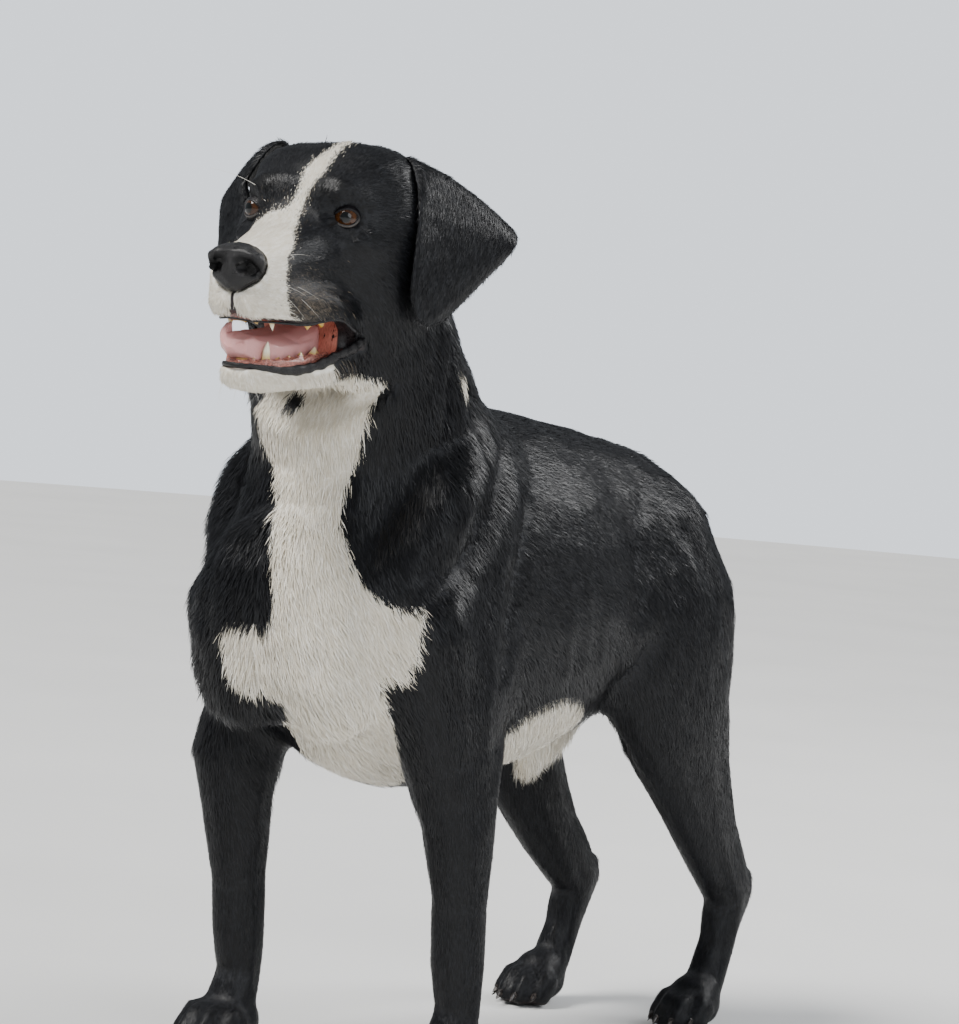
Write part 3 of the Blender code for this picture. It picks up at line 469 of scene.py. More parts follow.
RIBS = [
    (((0.096, -0.005 + 0.030 * i, 0.505), (0.118, 0.004 + 0.030 * i, 0.430),
      (0.110, 0.016 + 0.028 * i, 0.340)), 0.0075, 0.0011)
    for i in range(5)
]
BODY_FOLDS = mirrored([
    (((0.080, -0.128, 0.590), (0.104, -0.118, 0.535), (0.112, -0.128, 0.475),
      (0.104, -0.165, 0.420)), 0.011, -0.0040),
    (((0.0957, -0.1677, 0.6234), (0.0974, -0.1710, 0.5915), (0.0956, -0.1727, 0.5531),
      (0.0941, -0.1723, 0.5354)), 0.0065, 0.0024),
    (((0.0930, -0.1530, 0.6200), (0.0955, -0.1560, 0.5900), (0.0950, -0.1570, 0.5500)),
     0.0065, -0.0022),
    (((0.1179, -0.1705, 0.4929), (0.1163, -0.1852, 0.4696), (0.1098, -0.2022, 0.4451)),
     0.013, 0.0030),
    (((0.0903, -0.1134, 0.5683), (0.0962, -0.0786, 0.5192), (0.1120, -0.1037, 0.4819),
      (0.1203, -0.1300, 0.4503), (0.1253, -0.1710, 0.4229), (0.1243, -0.2043, 0.4048)),
     0.0085, -0.0030),
    (((0.1019, -0.0682, 0.4994), (0.1189, -0.0931, 0.4371), (0.1324, -0.1198, 0.3660),
      (0.1363, -0.1236, 0.2761)), 0.010, 0.0022),
    (((0.1040, -0.0450, 0.4800), (0.1160, -0.0700, 0.4200), (0.1240, -0.0950, 0.3500)),
     0.010, -0.0034),
    (((0.098, -0.055, 0.350), (0.106, -0.080, 0.300)), 0.014, -0.0040),
    (((0.090, 0.120, 0.300), (0.103, 0.160, 0.360), (0.096, 0.185, 0.430)), 0.012, -0.0040),
    (((0.076, 0.110, 0.485), (0.098, 0.145, 0.420)), 0.026, -0.0035),
    (((0.100, 0.200, 0.455), (0.112, 0.250, 0.385), (0.098, 0.290, 0.310)), 0.012, -0.0026),
    (((0.080, 0.300, 0.400), (0.085, 0.330, 0.320)), 0.016, 0.0022),
    (((0.084, 0.325, 0.170), (0.085, 0.335, 0.125)), 0.006, -0.0020),
    (((0.055, -0.250, 0.500), (0.040, -0.262, 0.430), (0.030, -0.265, 0.370)), 0.012, 0.0024),
    (((0.060, -0.235, 0.330), (0.052, -0.190, 0.285)), 0.012, 0.0022),
    *RIBS,
]) + [
    (((0, -0.020, 0.590), (0, 0.150, 0.570), (0, 0.290, 0.535)), 0.010, -0.0012),
    (((0.003, -0.262, 0.470), (0.003, -0.262, 0.330)), 0.012, -0.0024),
]


# ---------------------------------------------------------------- how the coat lies

# Place, the way it lies, length and width of a tuft in mm, how far it stands off, tufts per
# square cm, reach of the row. Sideways is outward, so each row serves both sides.
BODY_LIE = (
    ((0.075, 0.030, 0.295), (0.15, -0.30, -1), 22.0, 0.45, 0.060, 30, 0.05),
    ((0.000, 0.125, 0.250), (0, -0.60, -0.80), 20.0, 0.45, 0.080, 30, 0.05),
    ((0.00, -0.06, 0.60), (0, 1, -0.1), 13.8, 0.72, 0.060, 31, 0.07),
    ((0.00, 0.10, 0.58), (0, 1, 0), 12.0, 0.66, 0.048, 31, 0.09),
    ((0.00, 0.27, 0.55), (0, 0.9, -0.4), 12.0, 0.66, 0.054, 31, 0.07),
    ((0.02, 0.35, 0.47), (0, 0.5, -0.85), 13.8, 0.66, 0.072, 31, 0.05),
    ((0.00, 0.39, 0.33), (0, 0.2, -1), 17.2, 0.66, 0.096, 31, 0.06),
    ((0.03, -0.14, 0.66), (0, 0.75, -0.6), 13.8, 0.66, 0.060, 31, 0.06),
    ((0.08, -0.20, 0.60), (0.05, 0.35, -0.95), 14.6, 0.66, 0.066, 31, 0.05),
    ((0.095, -0.15, 0.51), (0.1, 0.30, -1), 18.9, 0.72, 0.090, 30, 0.045),
    ((0.00, -0.26, 0.56), (0, -0.15, -1), 13.8, 0.66, 0.066, 31, 0.06),
    ((0.00, -0.28, 0.45), (0.15, -0.05, -1), 15.5, 0.72, 0.072, 31, 0.06),
    ((0.09, -0.24, 0.38), (0.6, 0.15, -0.75), 15.5, 0.72, 0.072, 31, 0.05),
    ((0.02, -0.23, 0.30), (0.15, 0.55, -0.8), 17.2, 0.72, 0.096, 30, 0.05),
    ((0.00, -0.12, 0.24), (0, 0.95, -0.3), 15.5, 0.72, 0.084, 30, 0.06),
    ((0.12, -0.13, 0.42), (0, 0.40, -0.95), 10.3, 0.60, 0.042, 35, 0.06),
    ((0.12, 0.00, 0.48), (0, 0.85, -0.45), 9.5, 0.60, 0.036, 35, 0.07),
    ((0.12, 0.02, 0.36), (0, 0.9, -0.4), 9.5, 0.60, 0.036, 35, 0.06),
    ((0.10, 0.14, 0.42), (0, 0.85, -0.55), 9.5, 0.60, 0.042, 35, 0.06),
    ((0.00, 0.04, 0.25), (0, 1, -0.1), 12.0, 0.66, 0.072, 31, 0.07),
    ((0.02, 0.15, 0.27), (0, 0.55, -0.85), 17.2, 0.66, 0.120, 41, 0.045),
    ((0.11, 0.22, 0.42), (0, 0.35, -0.95), 9.5, 0.60, 0.036, 35, 0.07),
    ((0.09, 0.26, 0.33), (0, 0.30, -0.95), 9.5, 0.60, 0.042, 35, 0.05),
    ((0.07, 0.34, 0.37), (-0.1, 0.45, -0.9), 16.3, 0.66, 0.108, 33, 0.05),
    ((0.10, -0.11, 0.24), (0, 0.18, -1), 7.7, 0.48, 0.036, 44, 0.05),
    ((0.10, -0.10, 0.13), (0, 0.06, -1), 6.6, 0.47, 0.038, 46, 0.04),
    ((0.10, -0.14, 0.02), (0, -0.75, -0.6), 4.3, 0.36, 0.038, 65, 0.03),
    ((0.08, 0.23, 0.25), (0, 0.40, -0.95), 7.7, 0.48, 0.036, 44, 0.04),
    ((0.075, 0.32, 0.15), (0, 0.30, -0.95), 7.1, 0.50, 0.038, 40, 0.04),
    ((0.075, 0.33, 0.07), (0, -0.15, -1), 5.7, 0.43, 0.038, 49, 0.03),
    ((0.075, 0.28, 0.02), (0, -0.75, -0.6), 4.3, 0.36, 0.038, 65, 0.03),
)
# The same in the head's frame.
HEAD_LIE = (
    ((0.000, -0.075, -0.010), (0, 1, 0.30), 2.3, 0.26, 0.040, 138, 0.020),
    ((0.000, -0.030, 0.000), (0, 0.95, 0.45), 3.0, 0.29, 0.040, 119, 0.018),
    ((0.000, 0.010, 0.030), (0, 0.85, 0.55), 3.8, 0.34, 0.048, 100, 0.022),
    ((0.000, 0.070, 0.052), (0, 1, -0.05), 6.2, 0.48, 0.064, 62, 0.028),
    ((0.030, 0.000, 0.020), (0.35, 0.80, 0.45), 3.4, 0.30, 0.048, 112, 0.014),
    ((0.022, -0.020, -0.012), (0.25, 0.95, 0.05), 2.7, 0.27, 0.040, 131, 0.014),
    ((0.030, -0.065, -0.045), (0.15, 0.95, -0.30), 2.8, 0.27, 0.048, 131, 0.018),
    ((0.034, -0.050, -0.068), (0.05, 0.75, -0.65), 3.0, 0.27, 0.064, 131, 0.014),
    ((0.046, -0.005, -0.040), (0.10, 0.90, -0.40), 4.4, 0.37, 0.048, 94, 0.020),
    ((0.040, 0.000, -0.020), (0.15, 0.95, -0.25), 2.8, 0.29, 0.040, 119, 0.012),
    ((0.056, 0.040, 0.005), (0.10, 0.95, -0.15), 4.9, 0.40, 0.048, 78, 0.022),
    ((0.058, 0.050, -0.050), (0.10, 0.80, -0.60), 6.6, 0.52, 0.064, 60, 0.028),
    ((0.045, 0.045, -0.105), (0, 0.65, -0.75), 9.5, 0.68, 0.088, 38, 0.028),
    ((0.000, -0.105, -0.115), (0, 0.20, -1), 4.0, 0.34, 0.096, 100, 0.016),
    ((0.020, -0.070, -0.126), (0.05, 0.80, -0.60), 4.4, 0.36, 0.080, 88, 0.020),
    ((0.000, -0.020, -0.130), (0, 0.85, -0.55), 7.6, 0.56, 0.096, 52, 0.028),
    ((0.000, 0.125, 0.020), (0, 0.80, -0.60), 10.4, 0.68, 0.072, 38, 0.030),
)


def lie_of(points, normals):
    """The way the coat lies at these points, and each tuft's length, width, rise and density."""
    local = to_head(points)
    side = np.sign(points[:, 0] + 1e-9)
    head_side = np.sign(local[:, 0] + 1e-9)
    way = np.zeros((len(points), 3))
    facts = np.zeros((len(points), 4))
    total = np.zeros(len(points))
    own = np.stack([np.abs(points[:, 0]), points[:, 1], points[:, 2]], 1)
    own_local = np.stack([np.abs(local[:, 0]), local[:, 1], local[:, 2]], 1)
    for rows, at, sign, is_head in ((BODY_LIE, own, side, False),
                                    (HEAD_LIE, own_local, head_side, True)):
        for place, lie, long, wide, rise, dense, reach in rows:
            away = np.linalg.norm(at - place, axis=1)
            weight = np.exp(-0.5 * (away / reach) ** 2) + 1e-7 / (1 + (away / reach) ** 4)
            if is_head:
                weight = weight * 2
            turned = np.repeat([lie], len(points), 0) * np.stack(
                [sign, np.ones(len(points)), np.ones(len(points))], 1)
            turned = head_turn(turned) if is_head else unit(turned)
            way += weight[:, None] * turned
            facts += weight[:, None] * np.array((long * MM, wide * MM, rise, dense * 1e4))
            total += weight
    facts /= total[:, None]
    flat = way - normals * (way * normals).sum(1, keepdims=True)
    flat = flat + 1e-6
    return unit(flat), facts


def coat_depth(points, settings):
    """How far the skin lies under the tips of the coat."""
    local = to_head(points)
    on_head = 1 - ramp(local[:, 1], 0.04, 0.12)
    on_head = on_head * ramp(local[:, 2], -0.165, -0.135) * ramp(-points[:, 1], 0.16, 0.20)
    low = 1 - ramp(points[:, 2], 0.10, 0.28)
    depth = settings.trunk_depth + (settings.foot_depth - settings.trunk_depth) * low
    return depth + (settings.face_depth - depth) * on_head


# ---------------------------------------------------------------- the bake map


def unwrap(mesh, parts, scales, margin=0.006):
    """Lays each part of the skin flat from six sides, side by side on one square."""
    normals = get(mesh.polygons, "normal", 3)
    axis = np.abs(normals).argmax(1)
    chart = parts * 6 + axis * 2 + (normals[np.arange(len(axis)), axis] < 0)
    sizes = get(mesh.polygons, "loop_total", 1, np.int32)
    per_loop = np.repeat(chart, sizes)
    corners = points_of(mesh)[get(mesh.loops, "vertex_index", 1, np.int32)]
    flat = np.zeros((len(corners), 2))
    places = []
    for number in np.unique(chart):
        mine = per_loop == number
        seen = [k for k in range(3) if k != number % 6 // 2]
        flat[mine] = corners[mine][:, seen] * scales[number // 6]
        low = flat[mine].min(0)
        flat[mine] -= low
        places.append((number, flat[mine].max(0) + margin))
    side = math.sqrt(sum(size[0] * size[1] for _, size in places)) * 1.1
    x = y = row = 0.0
    for number, size in sorted(places, key=lambda p: -p[1][1]):
        if x + size[0] > side and x:
            x, y, row = 0.0, y + row, 0.0
        flat[per_loop == number] += (x + margin / 2, y + margin / 2)
        x += size[0]
        row = max(row, size[1])
    flat /= max(side, y + row, flat.max() + margin)
    layer = mesh.uv_layers.new(name=BAKE_MAP)
    layer.uv.foreach_set("vector", flat.astype(np.float32).ravel())


def skin_parts(mesh):
    """Mouth, head, trunk, tail and each leg, as a number for each face."""
    centres = get(mesh.polygons, "center", 3).astype(float)
    local = to_head(centres)
    inside = np.max(mouth_masks(local), 0) > 0
    leg = 4 + (centres[:, 0] > 0) + 2 * (centres[:, 1] > 0.05)
    parts = np.where(centres[:, 2] < 0.27, leg, 2)
    parts[(centres[:, 1] > 0.365) & (np.abs(centres[:, 0]) < 0.03) & (centres[:, 2] > 0.16)] = 3
    parts[(local[:, 1] < 0.10) & (local[:, 2] > -0.16) & (centres[:, 1] < -0.16)] = 1
    parts[inside] = 0
    return parts


# ---------------------------------------------------------------- materials

GRIZZLE = (0.15, 0.115, 0.08, 1)


def group(name, inputs, outputs):
    """A shader node group with these sockets, and its two end nodes."""
    tree = bpy.data.node_groups.new(name, "ShaderNodeTree")
    for label, kind, value in inputs:
        socket = tree.interface.new_socket(label, in_out="INPUT", socket_type="NodeSocket" + kind)
        socket.default_value = value
    for label, kind in outputs:
        tree.interface.new_socket(label, in_out="OUTPUT", socket_type="NodeSocket" + kind)
    return tree, tree.nodes.new("NodeGroupInput"), tree.nodes.new("NodeGroupOutput")


def feed(tree, socket, value):
    """Links the value to the socket, or sets it where it is only a number or a colour."""
    if isinstance(value, bpy.types.NodeSocket):
        tree.links.new(value, socket)
    else:
        socket.default_value = value


def add(tree, kind, values=None, **settings):
    """A node of the tree with its settings, and with its inputs set or linked."""
    node = tree.nodes.new("ShaderNode" + kind)
    for key, value in settings.items():
        setattr(node, key, value)
    for key, value in (values or {}).items():
        feed(tree, node.inputs[key], value)
    return node


def blend(tree, share, first, second):
    """The colour between two colours."""
    return add(tree, "Mix", {0: share, 6: first, 7: second}, data_type="RGBA").outputs[2]


def between(tree, share, first, second):
    """The number between two numbers."""
    return add(tree, "Mix", {0: share, 2: first, 3: second}).outputs[0]


def calculate(tree, operation, *numbers):
    """The result of one sum."""
    return add(tree, "Math", dict(enumerate(numbers)), operation=operation).outputs[0]


def spread(tree, value, low, high, to_low=0.0, to_high=1.0):
    """The value stretched from one range to another, and held within it."""
    node = add(tree, "MapRange", {"Value": value, "From Min": low, "From Max": high,
                                  "To Min": to_low, "To Max": to_high})
    return node.outputs["Result"]


def attribute(tree, name, output="Fac"):
    """What put_attribute gave the points by this name."""
    return add(tree, "Attribute", attribute_name=name).outputs[output]


def noise(tree, scale, detail, place=None):
    """A cloudy mask, of the object's own place unless told another."""
    values = {"Scale": scale, "Detail": detail}
    if place is not None:
        values["Vector"] = place
    return add(tree, "TexNoise", values).outputs["Fac"]


def grain_group():
    """Fine hair grain along the coat: its height, and streaks of light and dark."""
    if "hair grain" in bpy.data.node_groups:
        return bpy.data.node_groups["hair grain"]
    tree, start, end = group(
        "hair grain",
        [("Fibre", "Vector", (0, 0, 0)), ("Fineness", "Float", 1200.0), ("Clumping", "Float", 0.5)],
        [("Height", "Float"), ("Streak", "Float")])
    fibre, fineness, clumping = start.outputs[:3]
    fine = noise(tree, fineness, 2.0, fibre)
    coarse = noise(tree, calculate(tree, "MULTIPLY", fineness, 0.22), 2.0, fibre)
    height = calculate(tree, "ADD", fine, calculate(tree, "MULTIPLY", coarse, clumping))
    feed(tree, end.inputs["Height"], height)
    feed(tree, end.inputs["Streak"], spread(tree, coarse, 0.35, 0.68))
    return tree


def hair_group():
    """The colour of one tuft, from its own shade and from its root to its tip: each tuft lies by
    chance between a deep and a light colour, partly the coat's own tone and partly painted shade
    and painted highlight, and its root end is darker as painted shade.
    """
    if "hair colour" in bpy.data.node_groups:
        return bpy.data.node_groups["hair colour"]
    tree, start, end = group(
        "hair colour",
        [("Deep", "Color", (0, 0, 0, 1)), ("Light", "Color", (1, 1, 1, 1)),
         ("Shade", "Float", 0.5), ("Along", "Float", 0.5), ("Gloss", "Float", 0.4)],
        [("Color", "Color"), ("Roughness", "Float")])
    deep, light, shade, along, gloss = start.outputs[:5]
    lit = calculate(tree, "MULTIPLY", shade, shade)
    share = calculate(tree, "MULTIPLY", lit, calculate(tree, "MULTIPLY_ADD", along, 0.35, 0.65))
    feed(tree, end.inputs["Color"], blend(tree, share, deep, light))
    feed(tree, end.inputs["Roughness"], calculate(tree, "MULTIPLY_ADD", shade, 0.10, gloss))
    return tree


def leather_group():
    """Bare leather with small raised cells: its colour, roughness and height."""
    if "bare leather" in bpy.data.node_groups:
        return bpy.data.node_groups["bare leather"]
    tree, start, end = group(
        "bare leather",
        [("Colour", "Color", (0, 0, 0, 1)), ("Worn", "Color", (0.1, 0.1, 0.1, 1)),
         ("Cells", "Float", 1500.0)],
        [("Color", "Color"), ("Roughness", "Float"), ("Height", "Float")])
    colour, worn, cells = start.outputs[:3]
    place = add(tree, "TexCoord").outputs["Object"]
    edges = add(tree, "TexVoronoi", {"Vector": place, "Scale": cells, "Randomness": 0.85},
                feature="DISTANCE_TO_EDGE").outputs["Distance"]
    tone = noise(tree, 220.0, 4.0, place)
    raised = spread(tree, edges, 0.0, 0.35)
    share = calculate(tree, "MULTIPLY", raised, spread(tree, tone, 0.4, 0.75))
    feed(tree, end.inputs["Color"], blend(tree, share, colour, worn))
    feed(tree, end.inputs["Roughness"], spread(tree, tone, 0.3, 0.7, 0.26, 0.44))
    feed(tree, end.inputs["Height"], raised)
    return tree


def place_group(tree, node_group, values):
    """The outputs of a group that is placed in a material with these values."""
    node = tree.nodes.new("ShaderNodeGroup")
    node.node_tree = node_group
    for key, value in values.items():
        feed(tree, node.inputs[key], value)
    return node.outputs


def material(name, **values):
    """A new material and its Principled shader, with what is the same all over set on it."""
    made = bpy.data.materials.new(name)
    made.use_nodes = True
    shader = made.node_tree.nodes["Principled BSDF"]
    for key, value in values.items():
        shader.inputs[key.replace("_", " ")].default_value = value
    return made, made.node_tree, shader


def finish(tree, shader, colour, rough, height=None, strength=0.0, distance=0.0):
    """Feeds the shader what changes over the surface."""
    feed(tree, shader.inputs["Base Color"], colour)
    feed(tree, shader.inputs["Roughness"], rough)
    if height is not None:
        bump = add(tree, "Bump", {"Height": height, "Strength": strength, "Distance": distance})
        feed(tree, shader.inputs["Normal"], bump.outputs["Normal"])


def colour4(value, brighter=1.0):
    """The colour with its alpha, scaled but held in range."""
    return (*(min(1.0, c * brighter) for c in value[:3]), 1.0)


def skin_material(settings, mouth):
    """Short coat in its two colours, and the bare lips, soles and flesh of the mouth."""
    made, tree, shader = material("short coat over skin", Specular_IOR_Level=0.26,
                                  Sheen_Weight=0.02, Sheen_Roughness=0.4)
    white, lip, inner, sole, brow_shade, grizzle = (
        attribute(tree, n) for n in ("white", "lip", "inner", "sole", "brow_shade", "ticking"))
    fibre = attribute(tree, "fibre", "Vector")
    grain = place_group(tree, grain_group(), {"Fibre": fibre, "Fineness": 1500.0,
                                              "Clumping": 0.8})
    edge = calculate(tree, "SUBTRACT", white, 0.003)
    ragged = calculate(tree, "MULTIPLY_ADD", noise(tree, 700.0, 3.0, fibre), 0.006, edge)
    # Painted light: the grain's streaks mix each coat colour between its painted shade and its
    # lighter colour, which on the black is a painted highlight.
    black = blend(tree, grain["Streak"], colour4(settings.black_colour),
                  colour4(settings.black_highlight))
    pale = blend(tree, grain["Streak"], colour4(settings.white_shadow),
                 colour4(settings.white_colour))
    coat = blend(tree, spread(tree, ragged, -0.0006, 0.0006), black, pale)
    flecks = spread(tree, noise(tree, 620.0, 3.0, fibre), 0.40, 0.62)
    coat = blend(tree, calculate(tree, "MULTIPLY", grizzle, flecks), coat, GRIZZLE)
    # Painted shade: near black over the spots above the eyes.
    coat = blend(tree, brow_shade, coat, (0.0015, 0.0015, 0.0018, 1))
    mottle = noise(tree, 260.0, 4.0)
    dark_lip = blend(tree, mottle, (0.008, 0.007, 0.008, 1), (0.030, 0.022, 0.022, 1))
    rose = blend(tree, spread(tree, mottle, 0.35, 0.65), colour4(mouth.flesh_colour),
                 (0.52, 0.16, 0.11, 1))
    # Black pigment mottles, spread wider deeper in the mouth as painted shade.
    depth_shade = calculate(tree, "MULTIPLY", spread(tree, inner, 0.0005, 0.0045), 0.22)
    spots = calculate(tree, "ADD", noise(tree, 95.0, 3.0), depth_shade)
    flesh = blend(tree, spread(tree, spots, 0.54, 0.58), (0.02, 0.012, 0.012, 1), rose)
    is_lip, is_flesh = spread(tree, lip, -0.0003, 0.0005), spread(tree, inner, -0.0003, 0.0006)
    bare = calculate(tree, "MAXIMUM", is_lip, spread(tree, sole, 0.3, 0.6))
    rough = between(tree, calculate(tree, "MAXIMUM", is_lip, is_flesh),
                    spread(tree, grain["Streak"], 0.0, 1.0, 0.50, 0.64),
                    spread(tree, mottle, 0.3, 0.7, 0.22, 0.40))
    finish(tree, shader, blend(tree, is_flesh, blend(tree, bare, coat, dark_lip), flesh), rough,
           grain["Height"], 0.45, 0.0006)
    return made


def hair_material(name, deep, light, gloss, sheen):
    """Hair between a deep and a light colour, tuft by tuft: painted shade toward the roots, and
    partly painted highlight in the lighter tufts.
    """
    made, tree, shader = material(name, Specular_IOR_Level=0.25, Sheen_Weight=sheen,
                                  Sheen_Roughness=0.35)
    hair = place_group(tree, hair_group(), {
        "Deep": deep, "Light": light, "Shade": attribute(tree, "shade"),
        "Along": attribute(tree, "along"), "Gloss": gloss})
    finish(tree, shader, hair["Color"], hair["Roughness"])
    return made


def leather_material(name, colour, worn, cells, depth):
    """Moist bare leather, for the nose and the lips."""
    made, tree, shader = material(name, Coat_Weight=0.15, Coat_Roughness=0.25,
                                  Specular_IOR_Level=0.3)
    leather = place_group(tree, leather_group(), {"Colour": colour, "Worn": worn,
                                                  "Cells": cells})
    finish(tree, shader, leather["Color"], leather["Roughness"], leather["Height"], 0.6, depth)
    return made


def lid_material():
    """Thin black leather with a paler edge."""
    made, tree, shader = material("eyelid", Coat_Weight=0.05, Specular_IOR_Level=0.25)
    leather = place_group(tree, leather_group(), {
        "Colour": (0.006, 0.005, 0.006, 1), "Worn": (0.022, 0.020, 0.022, 1), "Cells": 1700.0})
    colour = blend(tree, attribute(tree, "pale"), leather["Color"], (0.42, 0.38, 0.34, 1))
    finish(tree, shader, colour, leather["Roughness"], leather["Height"], 0.4, 0.0002)
    return made


def eye_material(settings):
    """Pupil, rayed iris, its dark rim and the white, by the angle from the gaze."""
    made, tree, shader = material("eye", Coat_Weight=0.55, Coat_Roughness=0.02,
                                  Specular_IOR_Level=0.2)
    polar, turn = attribute(tree, "polar"), attribute(tree, "turn", "Vector")
    rays, flecks = noise(tree, 9.0, 4.0, turn), noise(tree, 3.0, 2.0, turn)
    iris = blend(tree, spread(tree, rays, 0.35, 0.68), colour4(settings.iris_shadow),
                 colour4(settings.iris_colour))
    iris = blend(tree, spread(tree, flecks, 0.5, 0.7, 0.0, 0.35), iris, (0.20, 0.075, 0.012, 1))
    iris = blend(tree, spread(tree, polar, 0.34, 0.50, 0.80, 0.0), iris, (0.02, 0.008, 0.003, 1))
    body = blend(tree, spread(tree, polar, 0.325, 0.35), (0.001, 0.002, 0.002, 1), iris)
    rim = blend(tree, spread(tree, polar, 0.70, 0.84), body, (0.010, 0.005, 0.003, 1))
    sclera = blend(tree, flecks, (0.12, 0.07, 0.055, 1), (0.20, 0.14, 0.12, 1))
    finish(tree, shader, blend(tree, spread(tree, polar, 0.95, 1.05), rim, sclera),
           spread(tree, rays, 0.2, 0.8, 0.10, 0.22))
    return made


def tongue_material(settings):
    """Wet, rough pink flesh."""
    made, tree, shader = material("tongue", Subsurface_Weight=0.12, Coat_Weight=0.35,
                                  Coat_Roughness=0.15,
                                  Subsurface_Radius=(0.004, 0.0016, 0.0012))
    tone = noise(tree, 140.0, 3.0)
    grain = add(tree, "TexVoronoi", {"Scale": 1300.0}).outputs["Distance"]
    colour = blend(tree, spread(tree, tone, 0.35, 0.7), colour4(settings.tongue_colour, 0.72),
                   colour4(settings.tongue_colour))
    finish(tree, shader, colour, spread(tree, tone, 0.3, 0.7, 0.28, 0.42), grain, 0.5, 0.00025)
    return made


def teeth_material(settings):
    """Ivory teeth, stained toward their roots and at the back, over mottled gums."""
    made, tree, shader = material("teeth and gums", Coat_Weight=0.5, Coat_Roughness=0.12)
    tooth, stain, dark = (attribute(tree, n) for n in ("tooth", "stain", "dark"))
    tone = noise(tree, 180.0, 4.0)
    ivory = blend(tree, spread(tree, tooth, 0.0, 0.006), (0.56, 0.36, 0.10, 1),
                  colour4(settings.tooth_colour))
    ivory = blend(tree, stain, ivory, (0.62, 0.36, 0.045, 1))
    spots = spread(tree, calculate(tree, "ADD", noise(tree, 110.0, 3.0), dark), 0.50, 0.54)
    gum = blend(tree, spots, colour4(settings.flesh_colour), (0.03, 0.016, 0.016, 1))
    finish(tree, shader, blend(tree, spread(tree, tooth, -0.0003, 0.0003), gum, ivory),
           spread(tree, tone, 0.3, 0.7, 0.16, 0.34), tone, 0.2, 0.0004)
    return made


def claw_material(settings):
    """Dark, streaked horn."""
    made, tree, shader = material("claw horn", Coat_Weight=0.3, Coat_Roughness=0.2)
    streak = noise(tree, 420.0, 3.0, add(tree, "TexCoord").outputs["Object"])
    colour = blend(tree, spread(tree, streak, 0.35, 0.7), colour4(settings.claw_colour),
                   colour4(settings.claw_colour, 3.5))
    finish(tree, shader, colour, spread(tree, streak, 0.3, 0.7, 0.28, 0.46), streak, 0.3, 0.0003)
    return made


# ---------------------------------------------------------------- settings


def colour_prop(label, text, default):
    """A colour that the user may change."""
    return bpy.props.FloatVectorProperty(name=label, description=text, default=default,
                                         subtype="COLOR", min=0.0, max=1.0, size=3)


def length_prop(label, text, default):
    """A length that the user may change."""
    return bpy.props.FloatProperty(name=label, description=text, default=default,
                                   unit="LENGTH", precision=4)


class DogCoatSettings(bpy.types.PropertyGroup):
    black_colour: colour_prop("Black", "Colour of the black coat in shade",
                              (0.0035, 0.0035, 0.0042))
    black_highlight: colour_prop("Black, lit", "Colour of the lightest black hairs",
                                 (0.015, 0.016, 0.019))
    white_colour: colour_prop("White", "Colour of the white coat", (0.92, 0.89, 0.82))
    # Painted shade: the white coat's darker colour near its roots and in its dark streaks.
    white_shadow: colour_prop("White, deep", "Colour of the white coat near its roots",
                              (0.70, 0.64, 0.52))
    skin_step: length_prop("Skin step", "Size of the skin's faces on the trunk", 0.0031)
    trunk_depth: length_prop("Coat on the trunk", "Depth of the coat on neck and trunk", 0.0032)
    face_depth: length_prop("Coat on the face", "Depth of the coat on the head", 0.0010)
    foot_depth: length_prop("Coat on the feet", "Depth of the coat on the lower legs", 0.0012)
    length: bpy.props.FloatProperty(name="Tuft length", description="Scales every tuft",
                                    default=1.0, subtype="FACTOR", min=0.3, max=2.0)
    fullness: bpy.props.FloatProperty(name="Fullness", description="Scales the number of tufts",
                                      default=1.0, subtype="FACTOR", min=0.1, max=1.3)


class DogHeadSettings(bpy.types.PropertyGroup):
    iris_colour: colour_prop("Iris", "Colour of the iris", (0.090, 0.031, 0.007))
    iris_shadow: colour_prop("Iris, deep", "Colour of the iris between its rays",
                             (0.026, 0.009, 0.003))
    flesh_colour: colour_prop("Gums", "Colour of the gums and the cheeks inside",
                              (0.74, 0.27, 0.20))
    tongue_colour: colour_prop("Tongue", "Colour of the tongue", (0.86, 0.42, 0.40))
    tooth_colour: colour_prop("Teeth", "Colour of the teeth's tips", (0.88, 0.82, 0.62))
    nose_colour: colour_prop("Nose", "Colour of the nose leather", (0.006, 0.0055, 0.006))
    claw_colour: colour_prop("Claws", "Colour of the claws", (0.020, 0.016, 0.014))
    whisker_length: length_prop("Whiskers", "Length of the longest whiskers of the lips", 0.038)


class DogStageSettings(bpy.types.PropertyGroup):
    floor_colour: colour_prop("Floor", "Colour of the floor", (0.80, 0.80, 0.79))
    key_power: bpy.props.FloatProperty(name="Main light", description="Strength of the main light",
                                       default=4.0, min=0.0)
    fill_power: bpy.props.FloatProperty(name="Fill light", description="Power of the fill light",
                                        default=45.0, min=0.0, unit="POWER")
    back_power: bpy.props.FloatProperty(name="Back light", description="Power of the back light",
                                        default=90.0, min=0.0, unit="POWER")
    camera_distance: length_prop("Camera distance", "From the camera to the dog", 3.067)


# ---------------------------------------------------------------- skin


def near_head(points, margin=0.0):
    """Where the head and the front end of the neck lie."""
    local = to_head(points)
    return ((local[:, 1] < 0.125 + margin) & (local[:, 2] > -0.150 - margin)
            & (points[:, 1] < -0.17 + margin))


def refine(mesh, wanted):
    """Halves the edges between the wanted points."""
    bm = bmesh.new()
    bm.from_mesh(mesh)
    bm.verts.ensure_lookup_table()
    edges = [e for e in bm.edges if wanted[e.verts[0].index] and wanted[e.verts[1].index]]
    bmesh.ops.subdivide_edges(bm, edges=edges, cuts=1, use_grid_fill=True)
    bm.to_mesh(mesh)
    bm.free()
    return mesh


SOCKET_EDGE = (58, 48)  # degrees from the eye's axis, from where the skin goes under the ball
SOCKET_RISE, SOCKET_DEPTH = 0.0008, 0.0030  # of the skin over the ball there, and under it


